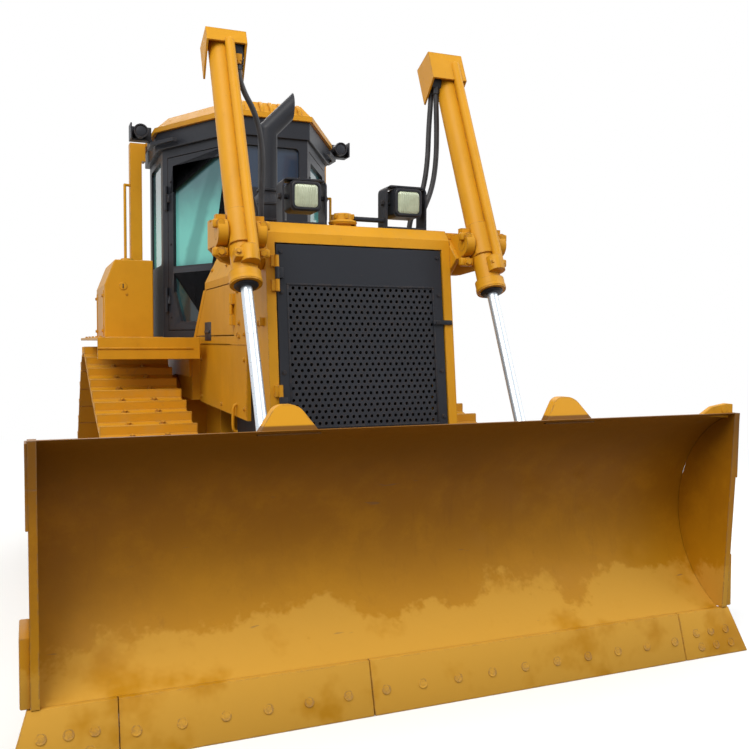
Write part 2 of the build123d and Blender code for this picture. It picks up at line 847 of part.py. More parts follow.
def make_cab_frame():
    cab = plan_prism(cab_plan(0.0), cab_low, cab_high)
    cab -= plan_prism(cab_plan(cab_wall), cab_low + cab_floor, cab_high + 10)
    cab -= block(-windscreen_half, windscreen_half, cab_front - 50, cab_front + 100,
                 windscreen_low, window_high)
    cab -= block(-480, 480, cab_rear - 100, cab_rear + 50, window_low, window_high)
    cab -= block(-cab_side_half - 50, cab_side_half + 50, cab_side_y + 90, cab_rear - 90,
                 window_low, window_high)
    opening = on_slant(front_prism(door_outline(door_gap, window_high), -120, 120))
    cab -= opening
    cab -= mirrored(opening)
    for start in cab_hinge_starts:
        pins = on_slant(fixed_knuckles(cab_hinge_local, (0, 0, 1), start))
        x, y, z = cab_hinge_local
        for z0 in (z + start - knuckle_length, z + start + knuckle_length):
            pins += on_slant(block(x + 1, x + hinge_leaf, y, 5, z0, z0 + knuckle_length))
        cab += pins
        cab += mirrored(pins)
    return cab


def make_cab_door():
    x0 = door_post + door_gap
    x1 = slant_length - door_post - door_gap
    z1 = window_high - door_gap
    leaf = front_prism(door_outline(0.0, z1), 0, cab_wall)
    leaf -= block(x0 + door_rail, x1 - door_rail, -20, cab_wall + 20, door_waist + door_waist_half, z1 - door_rail)
    leaf -= front_prism(lower_window(0.0), -20, cab_wall + 20)
    handle_x = x0 + door_rail / 2
    for z in (door_waist - 40, door_waist + 120):
        leaf += bar((handle_x, -handle_stand, z), (handle_x, 5, z), handle_foot_radius)
    leaf += bar((handle_x, -handle_stand, door_waist - 60), (handle_x, -handle_stand, door_waist + 140), handle_radius)
    x, y, z = cab_hinge_local
    for start in cab_hinge_starts:
        leaf += moving_knuckle(cab_hinge_local, (0, 0, 1), start)
        leaf += block(x - hinge_leaf, x - 1, y, 5, z + start + pin_gap, z + start + knuckle_length - pin_gap)
    return on_slant(leaf)


def make_door_glass():
    x0 = door_post + door_gap + door_rail + seat_gap
    x1 = slant_length - x0
    z1 = window_high - door_gap - door_rail - seat_gap
    middle = cab_wall / 2
    upper = block(x0, x1, middle, middle + glass_thickness, door_waist + door_waist_half + seat_gap, z1)
    lower = front_prism(lower_window(seat_gap), middle, middle + glass_thickness)
    return group(on_slant(upper), on_slant(lower))


def make_cab_glass():
    gap = seat_gap
    middle = cab_wall / 2
    front = block(-windscreen_half + gap, windscreen_half - gap, cab_front + middle,
                  cab_front + middle + glass_thickness, windscreen_low + gap, window_high - gap)
    rear = block(-480 + gap, 480 - gap, cab_rear - middle, cab_rear - middle + glass_thickness,
                 window_low + gap, window_high - gap)
    side = block(cab_side_half - middle, cab_side_half - middle + glass_thickness,
                 cab_side_y + 90 + gap, cab_rear - 90 - gap, window_low + gap, window_high - gap)
    return group(front, rear, side, mirrored(side))


def make_roof():
    low = cab_high + seat_gap
    lip = block(-roof_half, roof_half, roof_front, roof_rear, low, low + roof_plate)
    base = low + roof_plate
    width = 2 * (roof_half - roof_crown_inset)
    length = roof_rear - roof_front - 2 * roof_crown_inset
    middle = (roof_rear + roof_front) / 2
    crown = extrude(Pos(0, middle, base) * Rectangle(width, length), roof_high - base, taper=roof_crown_taper)
    roof = lip + crown
    rise = roof_high - base
    front = roof_front + roof_crown_inset
    slope = tan(radians(roof_crown_taper))
    for count in range(louvre_count):
        x = (count - (louvre_count - 1) / 2) * louvre_pitch
        fin = [(front + 14, base), (front - 12, base), (front - 12 + rise * slope, base + rise - 12)]
        fin += [(front + 14 + rise * slope, base + rise - 12)]
        roof += side_prism(fin, x - 28, x + 28)
    return roof


nodes["cab_frame"] = make_cab_frame()
cab_door = make_cab_door()
nodes["cab_door_left"] = cab_door
nodes["cab_door_right"] = mirrored(cab_door)
door_glass = make_door_glass()
nodes["door_glass_left"] = door_glass
nodes["door_glass_right"] = mirrored(door_glass)
nodes["cab_glass"] = make_cab_glass()
nodes["cab_roof"] = make_roof()


def make_rops():
    x0 = post_x - post_half_width
    x1 = post_x + post_half_width
    y0 = post_y - post_depth / 2
    y1 = post_y + post_depth / 2
    posts = block(x0, x1, y0, y1, tank_high + seat_gap, post_high)
    posts += block(roof_half + seat_gap, x1, y0, y1, beam_low, post_high)
    posts += block(x0 - 25, x1 + 25, y0 - 25, y1 + 25, tank_high + seat_gap, tank_high + 20)
    posts += bar((rail_x, rail_y, rail_foot), (rail_x, rail_y, rail_head), rail_radius)
    for z in (rail_foot, rail_head):
        posts += bar((x1 - 5, y0 + 20, z), (rail_x, rail_y, z), rail_radius)
        posts += Pos(rail_x, rail_y, z) * Sphere(rail_radius)
    return posts


def make_tank(high, chamfer, drop):
    outline = [(tank_inner, deck_top + seat_gap), (tank_outer, deck_top + seat_gap), (tank_outer, high - drop)]
    outline += [(tank_outer - chamfer, high), (tank_inner, high)]
    return front_prism(outline, tank_front, tank_rear)


rops = make_rops()
nodes["rops_posts"] = group(rops, mirrored(rops))
nodes["hydraulic_tank"] = mirrored(make_tank(tank_high, tank_chamfer, tank_chamfer_drop))
nodes["battery_box"] = make_tank(tank_high, tank_chamfer, tank_chamfer_drop)
fuel_tank = block(-fuel_half_width, fuel_half_width, fuel_front, fuel_rear, case_high + seat_gap, fuel_high)
fuel_tank = fillet(fuel_tank.edges().filter_by(Axis.X).group_by(Axis.Y)[-1], fuel_round)
fuel_tank += bar((filler_x, filler_y, fuel_high - 20), (filler_x, filler_y, fuel_high + 45), filler_radius)
nodes["fuel_tank"] = fuel_tank

floor_top = cab_low + cab_floor
nodes["seat_frame"] = block(-200, 200, 780, 1150, floor_top + seat_gap, floor_top + 320)
cushion = block(-250, 250, 700, 1190, floor_top + 320 + seat_gap, floor_top + 440)
cushion = fillet(cushion.edges().filter_by(Axis.Z), 60)
backrest = block(-240, 240, 1190 + seat_gap, 1300, floor_top + 330, floor_top + 950)
backrest = fillet(backrest.edges().filter_by(Axis.Y).group_by(Axis.Z)[-1], 90)
nodes["seat_cushions"] = group(cushion, backrest)
dash_outline = [(80, floor_top + seat_gap), (200, floor_top + seat_gap), (230, dash_high - 90), (150, dash_high)]
dash = side_prism(dash_outline + [(80, dash_high)], -180, 180)
side_box = block(310, 480, 720, 1200, floor_top + seat_gap, floor_top + 500)
side_box += block(320, 430, 860, 1190, floor_top + 500, floor_top + 560)
side_box += bar((390, 790, floor_top + 480), (390, 750, floor_top + 690), 11.0)
side_box += Pos(390, 750, floor_top + 690) * Sphere(24.0)
nodes["console"] = group(dash, side_box, mirrored(side_box))


def make_lamp():
    low = guard_high + lamp_foot
    housing = block(lamp_x - lamp_width / 2, lamp_x + lamp_width / 2, lamp_y - 22, lamp_y + lamp_depth - 30,
                    low, low + lamp_height)
    housing = fillet(housing.edges().filter_by(Axis.Y), 22)
    x0 = lamp_x - lamp_frame_half
    x1 = lamp_x + lamp_frame_half
    y0 = lamp_y - 5
    y1 = y0 + lamp_frame_depth
    foot = guard_high + seat_gap
    shell = block(x0, x1, y0, y1, foot, lamp_frame_high)
    shell = fillet(shell.edges().filter_by(Axis.Y).group_by(Axis.Z)[-1], 35)
    shell -= block(x0 + lamp_frame_plate, x1 - lamp_frame_plate, y0 - 5, y1 + 5,
                   foot + lamp_frame_plate, lamp_frame_high - lamp_frame_plate)
    pin_z = low + lamp_height / 2
    pins = cross_bar(x0 + 2, x1 - 2, lamp_y + 35, pin_z, 12.0)
    return shell + housing + pins


def make_radiator_cap():
    low = guard_high + seat_gap
    return bar((cap_x, cap_y, low), (cap_x, cap_y, cap_high), cap_radius)


lamp = make_lamp()
lamp_tube = cross_bar(cap_x + cap_radius + 0.5, lamp_x - lamp_frame_half + 2, cap_y - 30, lamp_tube_z - 30,
                      lamp_tube_radius)
nodes["lamps"] = group(lamp + lamp_tube, mirrored(lamp))
nodes["radiator_guard"] += make_radiator_cap() + block(cap_x - 62, cap_x + 62, cap_y - 40, cap_y + 40,
                                                       guard_high - 5, guard_high + 12)


# Work lamps on brackets at the roof's sides
def make_work_lamp():
    z0 = work_lamp_z - 55
    z1 = work_lamp_z + 55
    bracket = block(roof_half + seat_gap, work_lamp_reach, work_lamp_y - 5, work_lamp_y + 70, z0 - 5, z0 + 8)
    bracket += block(work_lamp_reach - 10, work_lamp_reach, work_lamp_y - 60, work_lamp_y + 70, z0 - 5, z1)
    bracket += block(roof_half + seat_gap, work_lamp_reach, work_lamp_y + 55, work_lamp_y + 65, z0, z1)
    bracket += block(roof_half + seat_gap, roof_half + 30, work_lamp_y - 330, work_lamp_y + 70,
                     z0 - 60, z0 - 35)
    bracket += block(roof_half + seat_gap, roof_half + 30, work_lamp_y - 5, work_lamp_y + 70, z0 - 60, z0 + 8)
    middle = (roof_half + work_lamp_reach) / 2 + 8
    return bracket + bar((middle, work_lamp_y - 50, z0 + 55), (middle, work_lamp_y + 60, z0 + 55), 52.0)


work_lamp = make_work_lamp()
nodes["work_lamps"] = group(work_lamp, mirrored(work_lamp))


# Lift cylinders hang in yokes on the radiator guard
def on_lift(distance, side=0.0):
    y = lift_pivot_y + lift_dir[0] * distance - lift_dir[1] * side
    z = lift_pivot_z + lift_dir[1] * distance + lift_dir[0] * side
    return (lift_x, y, z)


def beside_lift(distance, side, across):
    x, y, z = on_lift(distance, side)
    return (x + across, y, z)


# Oil tube down the barrel's front, from the top port to a block above the head
def oil_tube(across):
    high = -barrel_above + 60
    low = barrel_below - gland_length - 70
    tube = bar(beside_lift(high, -oil_tube_stand, across), beside_lift(low, -oil_tube_stand, across), oil_tube_radius)
    for reach in (high, low):
        tube += Pos(*beside_lift(reach, -oil_tube_stand, across)) * Sphere(oil_tube_radius)
    port = beside_lift(low + 45, -oil_tube_stand + 12, across / 2)
    tube += bar(beside_lift(low - 35, -oil_tube_stand + 12, across / 2), port, oil_block)
    return tube - bar(on_lift(-barrel_above), on_lift(barrel_below), barrel_radius - 8)


def make_barrel(across):
    barrel = bar(on_lift(-barrel_above), on_lift(barrel_below), barrel_radius)
    collar = bar(on_lift(-collar_half), on_lift(collar_half - 30), collar_radius)
    barrel += collar & block(lift_x - collar_flat, lift_x + collar_flat, lift_pivot_y - 300, lift_pivot_y + 300,
                             lift_pivot_z - 300, lift_pivot_z + 300)
    barrel += bar(on_lift(barrel_below - gland_length), on_lift(barrel_below), gland_radius)
    barrel += oil_tube(across)
    barrel -= bar(on_lift(-barrel_above + bore_stop), on_lift(barrel_below + 10), rod_radius + 1.0)
    barrel += cross_bar(lift_x - barrel_radius - yoke_ear_width, lift_x - barrel_radius + 8,
                        lift_pivot_y, lift_pivot_z, yoke_pin_radius)
    barrel += cross_bar(lift_x + barrel_radius - 8, lift_x + barrel_radius + yoke_ear_width,
                        lift_pivot_y, lift_pivot_z, yoke_pin_radius)
    return barrel


# Guard over the barrel's top and hose ports: a top plate, a front lip and two side plates
def make_top_guard(lip):
    top = -barrel_above - top_guard_over
    inner = lift_x - top_guard_inner
    outer = lift_x + top_guard_outer
    front = -top_guard_front
    plate = [on_lift(top, front)[1:], on_lift(top, top_guard_back)[1:]]
    plate += [on_lift(-barrel_above, top_guard_back)[1:], on_lift(-barrel_above, front)[1:]]
    guard = side_prism(plate, inner, outer)
    face = [on_lift(top, front)[1:], on_lift(top, front + top_guard_wall)[1:]]
    face += [on_lift(-barrel_above + lip, front + top_guard_wall)[1:], on_lift(-barrel_above + lip, front)[1:]]
    guard += side_prism(face, inner, outer)
    skirt = [on_lift(top, front)[1:], on_lift(top, top_guard_back)[1:]]
    skirt += [on_lift(-barrel_above + top_guard_skirt, top_guard_back)[1:], on_lift(-barrel_above + lip, front)[1:]]
    guard += side_prism(skirt, inner, inner + top_guard_wall)
    return guard + side_prism(skirt, outer - top_guard_wall, outer)


def make_rod():
    rod = bar(on_lift(-rod_inside), on_lift(lift_length - rod_eye_radius + 8), rod_radius)
    half = rod_eye_width / 2
    rod += cross_bar(lift_x - half, lift_x + half, rod_eye_y, rod_eye_z, rod_eye_radius)
    rod -= cross_bar(lift_x - half - 5, lift_x + half + 5, rod_eye_y, rod_eye_z, rod_eye_bore)
    return rod


def make_yokes():
    yokes = []
    for x0 in (lift_x - barrel_radius - yoke_ear_width, lift_x + barrel_radius + 6):
        ear = cross_bar(x0, x0 + yoke_ear_width - 6, lift_pivot_y, lift_pivot_z, 62.0)
        ear -= cross_bar(x0 - 5, x0 + yoke_ear_width, lift_pivot_y, lift_pivot_z, yoke_pin_radius + pin_gap)
        yokes.append(ear)
    return yokes


# Hose ports on the barrel's inner side, each over the start of its hose
def hose_ports(side):
    ports = []
    for which in ("front", "rear"):
        x, y, z = hose_routes[f"hose_{side}_{which}"][0]
        inward = abs(x)
        low = z + seat_gap
        port = bar((inward, y, low), (inward, y, low + 50), hose_fitting_radius)
        port += block(inward - hose_fitting_radius, lift_x - barrel_radius + 14, y - hose_fitting_radius,
                      y + hose_fitting_radius, low + 16, low + 50)
        ports.append(port)
    return ports[0] + ports[1]


rod = make_rod()
nodes["lift_barrel_left"] = make_barrel(oil_tube_side) + make_top_guard(top_guard_lip_left) + hose_ports("left")
right_barrel = make_barrel(-oil_tube_side) + make_top_guard(top_guard_lip_right) + hose_ports("right")
nodes["lift_barrel_right"] = mirrored(right_barrel)
nodes["lift_rod_left"] = rod
nodes["lift_rod_right"] = mirrored(rod)


def make_yoke():
    x0 = guard_half_width + seat_gap
    x1 = lift_x + barrel_radius + yoke_ear_width
    back_y = lift_pivot_y + yoke_reach
    back = [(x0, lift_pivot_z + 75), (x1, lift_pivot_z + 75), (x1, lift_pivot_z - 62)]
    back += [(x1 - 60, lift_pivot_z - 120), (lift_x - 50, lift_pivot_z - 150), (x0, lift_pivot_z - 150)]
    yoke = front_prism(back, back_y, back_y + 60)
    for ear in make_yokes():
        yoke += ear
    inner = lift_x - barrel_radius - yoke_ear_width
    for ear_x in (inner, lift_x + barrel_radius + 6):
        web = block(ear_x, ear_x + yoke_ear_width - 6, lift_pivot_y, back_y + 10,
                    lift_pivot_z - 62, lift_pivot_z + 62)
        web += block(ear_x, ear_x + yoke_ear_width - 6, lift_pivot_y + 4, lift_pivot_y + 44,
                     lift_pivot_z - cap_half_height, lift_pivot_z + cap_half_height)
        web -= cross_bar(ear_x - 5, ear_x + yoke_ear_width, lift_pivot_y, lift_pivot_z, yoke_pin_radius + pin_gap)
        yoke += web
    return yoke


yoke = make_yoke()
nodes["yokes"] = group(yoke, mirrored(yoke))


def hose_radii(points):
    radii = []
    for before, corner, after in zip(points, points[1:], points[2:]):
        run_in = Vector(*corner) - Vector(*before)
        run_out = Vector(*after) - Vector(*corner)
        turn = radians(run_in.get_angle(run_out))
        radii.append(0.45 * min(run_in.length, run_out.length) / tan(turn / 2))
    return radii


def make_hose(points):
    radii = hose_radii(points)
    print("hose bend radii", [round(radius) for radius in radii])
    path = FilletPolyline(*points, radius=radii)
    start = Plane(origin=path @ 0, z_dir=path % 0)
    return sweep(start * Circle(hose_radius), path=path)


for name, route in hose_routes.items():
    nodes[name] = make_hose(route)


# Blade
def moldboard_face():
    foot = (blade_bottom_y, blade_bottom_z)
    belly = (blade_belly_y, blade_belly_z)
    top = (blade_top_y, blade_top)
    front = ThreePointArc(foot, belly, top)
    back = ThreePointArc((top[0] + 10, top[1] + 2), (belly[0] + moldboard_plate, belly[1]),
                         (foot[0] + 15, foot[1] - moldboard_plate))
    close_top = Line(front @ 1, back @ 0)
    close_foot = Line(back @ 1, front @ 0)
    return make_face([front, close_top, back, close_foot])


def bowl_space(half):
    front = ThreePointArc((blade_bottom_y + 3, blade_bottom_z - 3), (blade_belly_y + 3, blade_belly_z),
                          (blade_top_y + 3, blade_top))
    ahead = blade_top_y - 300
    close = Polyline(front @ 1, (ahead, blade_top), (ahead, blade_bottom_z - 3), front @ 0)
    return extrude(Plane.YZ.offset(-half) * make_face([front, close]), 2 * half, dir=(1, 0, 0))


def make_moldboard():
    inner = blade_half_width - end_plate
    board = extrude(Plane.YZ.offset(-inner) * moldboard_face(), 2 * inner, dir=(1, 0, 0))
    bowl = bowl_space(inner)
    low_box = [(-2560, 190), (-2500, box_low), (box_back, box_low), (box_back, box_high)]
    board += side_prism(low_box, -inner, inner) - bowl
    end = [(blade_top_y, blade_top), (-2645, blade_bottom_z + 6), (-2580, blade_bottom_z + 6), (-2540, box_low)]
    end += [(box_back, box_low), (box_back, 700), (-2420, 1000), (-2640, blade_top)]
    board += side_prism(end, inner - 1, blade_half_width)
    board += side_prism(end, -blade_half_width, -inner + 1)
    for side in (-1, 1):
        hump = [(side * lift_x - hump_half_width, blade_top - 20), (side * lift_x + hump_half_width, blade_top - 20)]
        hump += [(side * lift_x + hump_top_half, hump_high), (side * lift_x - hump_top_half, hump_high)]
        board += front_prism(hump, -2665, -2620)
        for ear in (-1, 1):
            centre = side * lift_x + ear * (rod_eye_width / 2 + 8 + clevis_plate / 2)
            x0 = centre - clevis_plate / 2
            x1 = x0 + clevis_plate
            plate = [(-2520, rod_eye_z + clevis_round), (rod_eye_y, rod_eye_z + clevis_round)]
            plate += [(rod_eye_y + clevis_round, rod_eye_z), (-2345, 790), (-2420, 790)]
            ears = side_prism(plate, x0, x1)
            ears += cross_bar(x0, x1, rod_eye_y, rod_eye_z, clevis_round)
            board += ears - bowl
        x0 = side * lift_x - rod_eye_width / 2 - 20
        board += cross_bar(x0, x0 + rod_eye_width + 40, rod_eye_y, rod_eye_z, clevis_pin_radius)
    return board




def make_edges():
    top_y = blade_bottom_y + 1.5
    outline = [(edge_foot_y, 0), (edge_foot_y + edge_thickness, 0), (top_y - seat_gap, blade_bottom_z + 5)]
    outline.append((top_y - edge_thickness, blade_bottom_z + 5))
    middle = edge_half_width - end_bit_width
    edge = side_prism(outline, -middle, middle)
    bit = side_prism(outline, middle + seat_gap, edge_half_width)
    return group(edge, bit, mirrored(bit))


nodes["cutting_edges"] = make_edges()


brace_x = (arm_inner + arm_outer) / 2
tilt_rise = (brace_head_z - brace_foot_z) / (brace_foot_y - brace_head_y - 30)


def brace_clevis(y, z, root):
    half = brace_eye_width / 2
    clevis = cross_bar(brace_x - half - 5, brace_x + half + 5, y, z, brace_pin_radius)
    reach = brace_eye_radius - 6
    across = [(y + reach * 0.95, z - reach * 0.3), (y + reach * 0.5, z + reach * 0.85)]
    across += [(y - reach * 0.5, z + reach * 0.85), (y - reach * 0.95, z - reach * 0.3)]
    for x0 in (brace_x - half - seat_gap - brace_cheek, brace_x + half + seat_gap):
        clevis += side_prism(root + across, x0, x0 + brace_cheek)
    return clevis


def make_push_arm():
    outline = [(trunnion_y - 60, trunnion_z - 110), (trunnion_y - 60, trunnion_z + 110)]
    outline += [(box_back + seat_gap, arm_high), (box_back + seat_gap, arm_low)]
    arm = side_prism(outline, arm_inner, arm_outer)
    arm += cross_bar(arm_inner, arm_outer, trunnion_y, trunnion_z, 115.0)
    arm -= cross_bar(arm_inner - 5, arm_outer + 5, trunnion_y, trunnion_z, trunnion_radius + pin_gap)
    return arm + brace_clevis(brace_foot_y, brace_foot_z, [(brace_foot_y - 110, 480), (brace_foot_y + 110, 480)])


# The brace's upper clevis stands on the back of the blade
board = make_moldboard()
inner = blade_half_width - end_plate
clevis = brace_clevis(brace_head_y, brace_head_z, [(-2330, 700), (-2420, 900)]) - bowl_space(inner)
nodes["moldboard"] = board + clevis + mirrored(clevis)

arm = make_push_arm()
nodes["push_arm_left"] = arm
nodes["push_arm_right"] = mirrored(arm)


def make_brace():
    tube = bar((brace_x, brace_foot_y, brace_foot_z), (brace_x, brace_head_y + 30, brace_head_z), brace_radius)
    half = brace_eye_width / 2
    for y, z in ((brace_foot_y, brace_foot_z), (brace_head_y, brace_head_z)):
        tube += cross_bar(brace_x - half, brace_x + half, y, z, brace_eye_radius)
        tube -= cross_bar(brace_x - half - 70, brace_x + half + 70, y, z, brace_pin_radius + pin_gap)
    for side in (-1, 1):
        cheek = brace_x + side * (half + 60)
        x0, x1 = sorted((brace_x + side * (half + seat_gap), cheek))
        for y, z in ((brace_foot_y, brace_foot_z), (brace_head_y, brace_head_z)):
            tube -= block(x0, x1, y - 62, y + 62, z - 62, z + 62)
    return tube


brace = make_brace()
nodes["brace"] = brace
tilt_cylinder = mirrored(brace)
tilt_start = (-brace_x, brace_foot_y - 95, brace_foot_z + tilt_rise * 95)
tilt_end = (-brace_x, brace_foot_y - 95 - tilt_barrel, brace_foot_z + tilt_rise * (95 + tilt_barrel))
nodes["tilt_cylinder"] = tilt_cylinder + bar(tilt_start, tilt_end, tilt_radius)

# The origin moves to the middle of the machine's length
origin_y = (blade_top_y + drawbar_rear) / 2
for name, part in nodes.items():
    export_step(Pos(0, -origin_y, 0) * part, f"parts/{name}.step")
print(len(nodes), "nodes, link pitch", round(link_pitch, 1))
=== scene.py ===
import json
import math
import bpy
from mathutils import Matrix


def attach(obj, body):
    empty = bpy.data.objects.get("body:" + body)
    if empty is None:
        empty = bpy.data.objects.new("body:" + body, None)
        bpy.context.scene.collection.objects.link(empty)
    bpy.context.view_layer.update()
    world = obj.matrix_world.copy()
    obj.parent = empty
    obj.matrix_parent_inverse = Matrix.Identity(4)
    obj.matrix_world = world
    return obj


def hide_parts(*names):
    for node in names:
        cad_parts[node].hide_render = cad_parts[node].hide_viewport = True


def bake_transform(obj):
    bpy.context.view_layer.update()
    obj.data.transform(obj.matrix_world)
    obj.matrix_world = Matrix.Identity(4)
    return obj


bl_info = {
    "name": "Crawler Bulldozer",
    "version": (1, 0, 0),
    "blender": (4, 5, 0),
    "location": "3D View > Sidebar > Bulldozer",
    "description": "Dresses the packed bulldozer frame with detailed pieces and worn paint",
    "category": "Object",
}

import bmesh
import bpy
from bpy.props import FloatProperty, FloatVectorProperty, IntProperty, PointerProperty
from mathutils import Matrix, Vector, noise

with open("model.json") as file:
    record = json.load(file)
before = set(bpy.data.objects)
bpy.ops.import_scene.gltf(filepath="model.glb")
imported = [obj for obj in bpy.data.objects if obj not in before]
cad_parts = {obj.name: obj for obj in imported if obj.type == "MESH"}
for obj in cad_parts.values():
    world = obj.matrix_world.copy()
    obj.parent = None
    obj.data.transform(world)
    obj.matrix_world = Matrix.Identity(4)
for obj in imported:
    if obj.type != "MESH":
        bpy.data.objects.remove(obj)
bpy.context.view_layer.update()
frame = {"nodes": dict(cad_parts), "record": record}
BODIES = frame["record"]["behaviour"]["bodies"]
NODE_BODY = {node: body for body, members in BODIES.items() for node in members}
MIRROR_X = Matrix.Diagonal((-1, 1, 1, 1))
OUTWARD, AHEAD, BEHIND, UPWARD, DOWNWARD = (1, 0, 0), (0, -1, 0), (0, 1, 0), (0, 0, 1), (0, 0, -1)
# Pieces are drawn in millimetres from a drafting origin, and the frame's origin lies this far before it, in metres
ORIGIN_Y = 0.3085
TO_ROW = Matrix.Translation((0, ORIGIN_Y, 0)) @ Matrix.Scale(0.001, 4)
TO_DRAFT = TO_ROW.inverted()
GUARD_DROP = 42.0
GUARD_HIGH, GUARD_TOP_Y, GUARD_LEAN = 2117.0, -1745.0, 0.112
GRILLE_LOW, GRILLE_HALF = 1070.0, 452.0
LIFT_X, LIFT_Y, LIFT_Z = 650.0, -1848.0, 2033.0
HOSE_ROUTES = {
    "hose_left_front": [(572, -1452, 2985), (572, -1452, 2900), (583, -1442, 2740), (586, -1432, 2560),
                        (562, -1432, 2400), (506, -1436, 2270), (470, -1440, 2200), (470, -1440, 2116)],
    "hose_left_rear": [(560, -1414, 3003), (560, -1414, 2910), (549, -1408, 2740), (548, -1398, 2560),
                       (526, -1392, 2400), (476, -1392, 2275), (432, -1396, 2200), (432, -1396, 2116)],
    "hose_right_front": [(-568, -1452, 2985), (-568, -1452, 2910), (-534, -1450, 2810), (-482, -1446, 2730),
                         (-444, -1440, 2610), (-430, -1436, 2450), (-444, -1440, 2270), (-444, -1440, 2116)],
    "hose_right_rear": [(-558, -1414, 3003), (-558, -1414, 2900), (-566, -1404, 2740), (-560, -1394, 2570),
                        (-530, -1388, 2420), (-484, -1388, 2290), (-448, -1390, 2205), (-448, -1390, 2116)],
}
CAB_CORNER = Vector((265.0, -20.0, 0.0))
CAB_SLANT = math.atan2(720.0, 375.0)
ROOF_LOW, ROOF_SHOULDER, ROOF_SLANT = 2941.0, 690.0, 0.547


# ---------------------------------------------------------------- sizes and colours
class BulldozerPaint(bpy.types.PropertyGroup):
    yellow: FloatVectorProperty(
        name="Yellow", description="Body paint", subtype="COLOR", size=3, min=0, max=1, default=(0.65, 0.298, 0.010))
    yellow_shade: FloatVectorProperty(
        name="Faded yellow", description="Paint that has dulled in patches", subtype="COLOR", size=3, min=0, max=1,
        default=(0.45, 0.195, 0.004))
    black: FloatVectorProperty(
        name="Black", description="Grille, cab frame and stack paint", subtype="COLOR", size=3, min=0, max=1,
        default=(0.018, 0.020, 0.026))
    dust: FloatVectorProperty(
        name="Dust", description="Dry soil on the paint", subtype="COLOR", size=3, min=0, max=1,
        default=(0.50, 0.29, 0.075))
    steel: FloatVectorProperty(
        name="Bare steel", description="Steel where the paint has worn off", subtype="COLOR", size=3, min=0, max=1,
        default=(0.17, 0.105, 0.06))


class BulldozerSizes(bpy.types.PropertyGroup):
    bolt_head: FloatProperty(
        name="Bolt head", description="Width across a bolt head", unit="LENGTH", default=0.030, min=0.01, max=0.06)
    grille_columns: IntProperty(
        name="Grille columns", description="Holes across the grille", default=24, min=4, max=40)
    grille_rows: IntProperty(
        name="Grille rows", description="Rows of holes down the grille", default=24, min=4, max=60)
    hose_diameter: FloatProperty(
        name="Hose", description="Outer diameter of the lift hoses", unit="LENGTH", default=0.030, min=0.01, max=0.05)


def paint():
    return bpy.context.scene.bulldozer_paint


def sizes():
    return bpy.context.scene.bulldozer_sizes


# ---------------------------------------------------------------- shader expressions
class Field:
    """Wraps a node output, so that Python's operators add Math nodes."""

    def __init__(self, finish, socket):
        self.finish = finish
        self.socket = socket

    def __add__(self, other):
        return self.finish.math("ADD", self, other)

    def __sub__(self, other):
        return self.finish.math("SUBTRACT", self, other)

    def __rsub__(self, other):
        return self.finish.math("SUBTRACT", other, self)

    def __mul__(self, other):
        return self.finish.math("MULTIPLY", self, other)

    __radd__ = __add__
    __rmul__ = __mul__


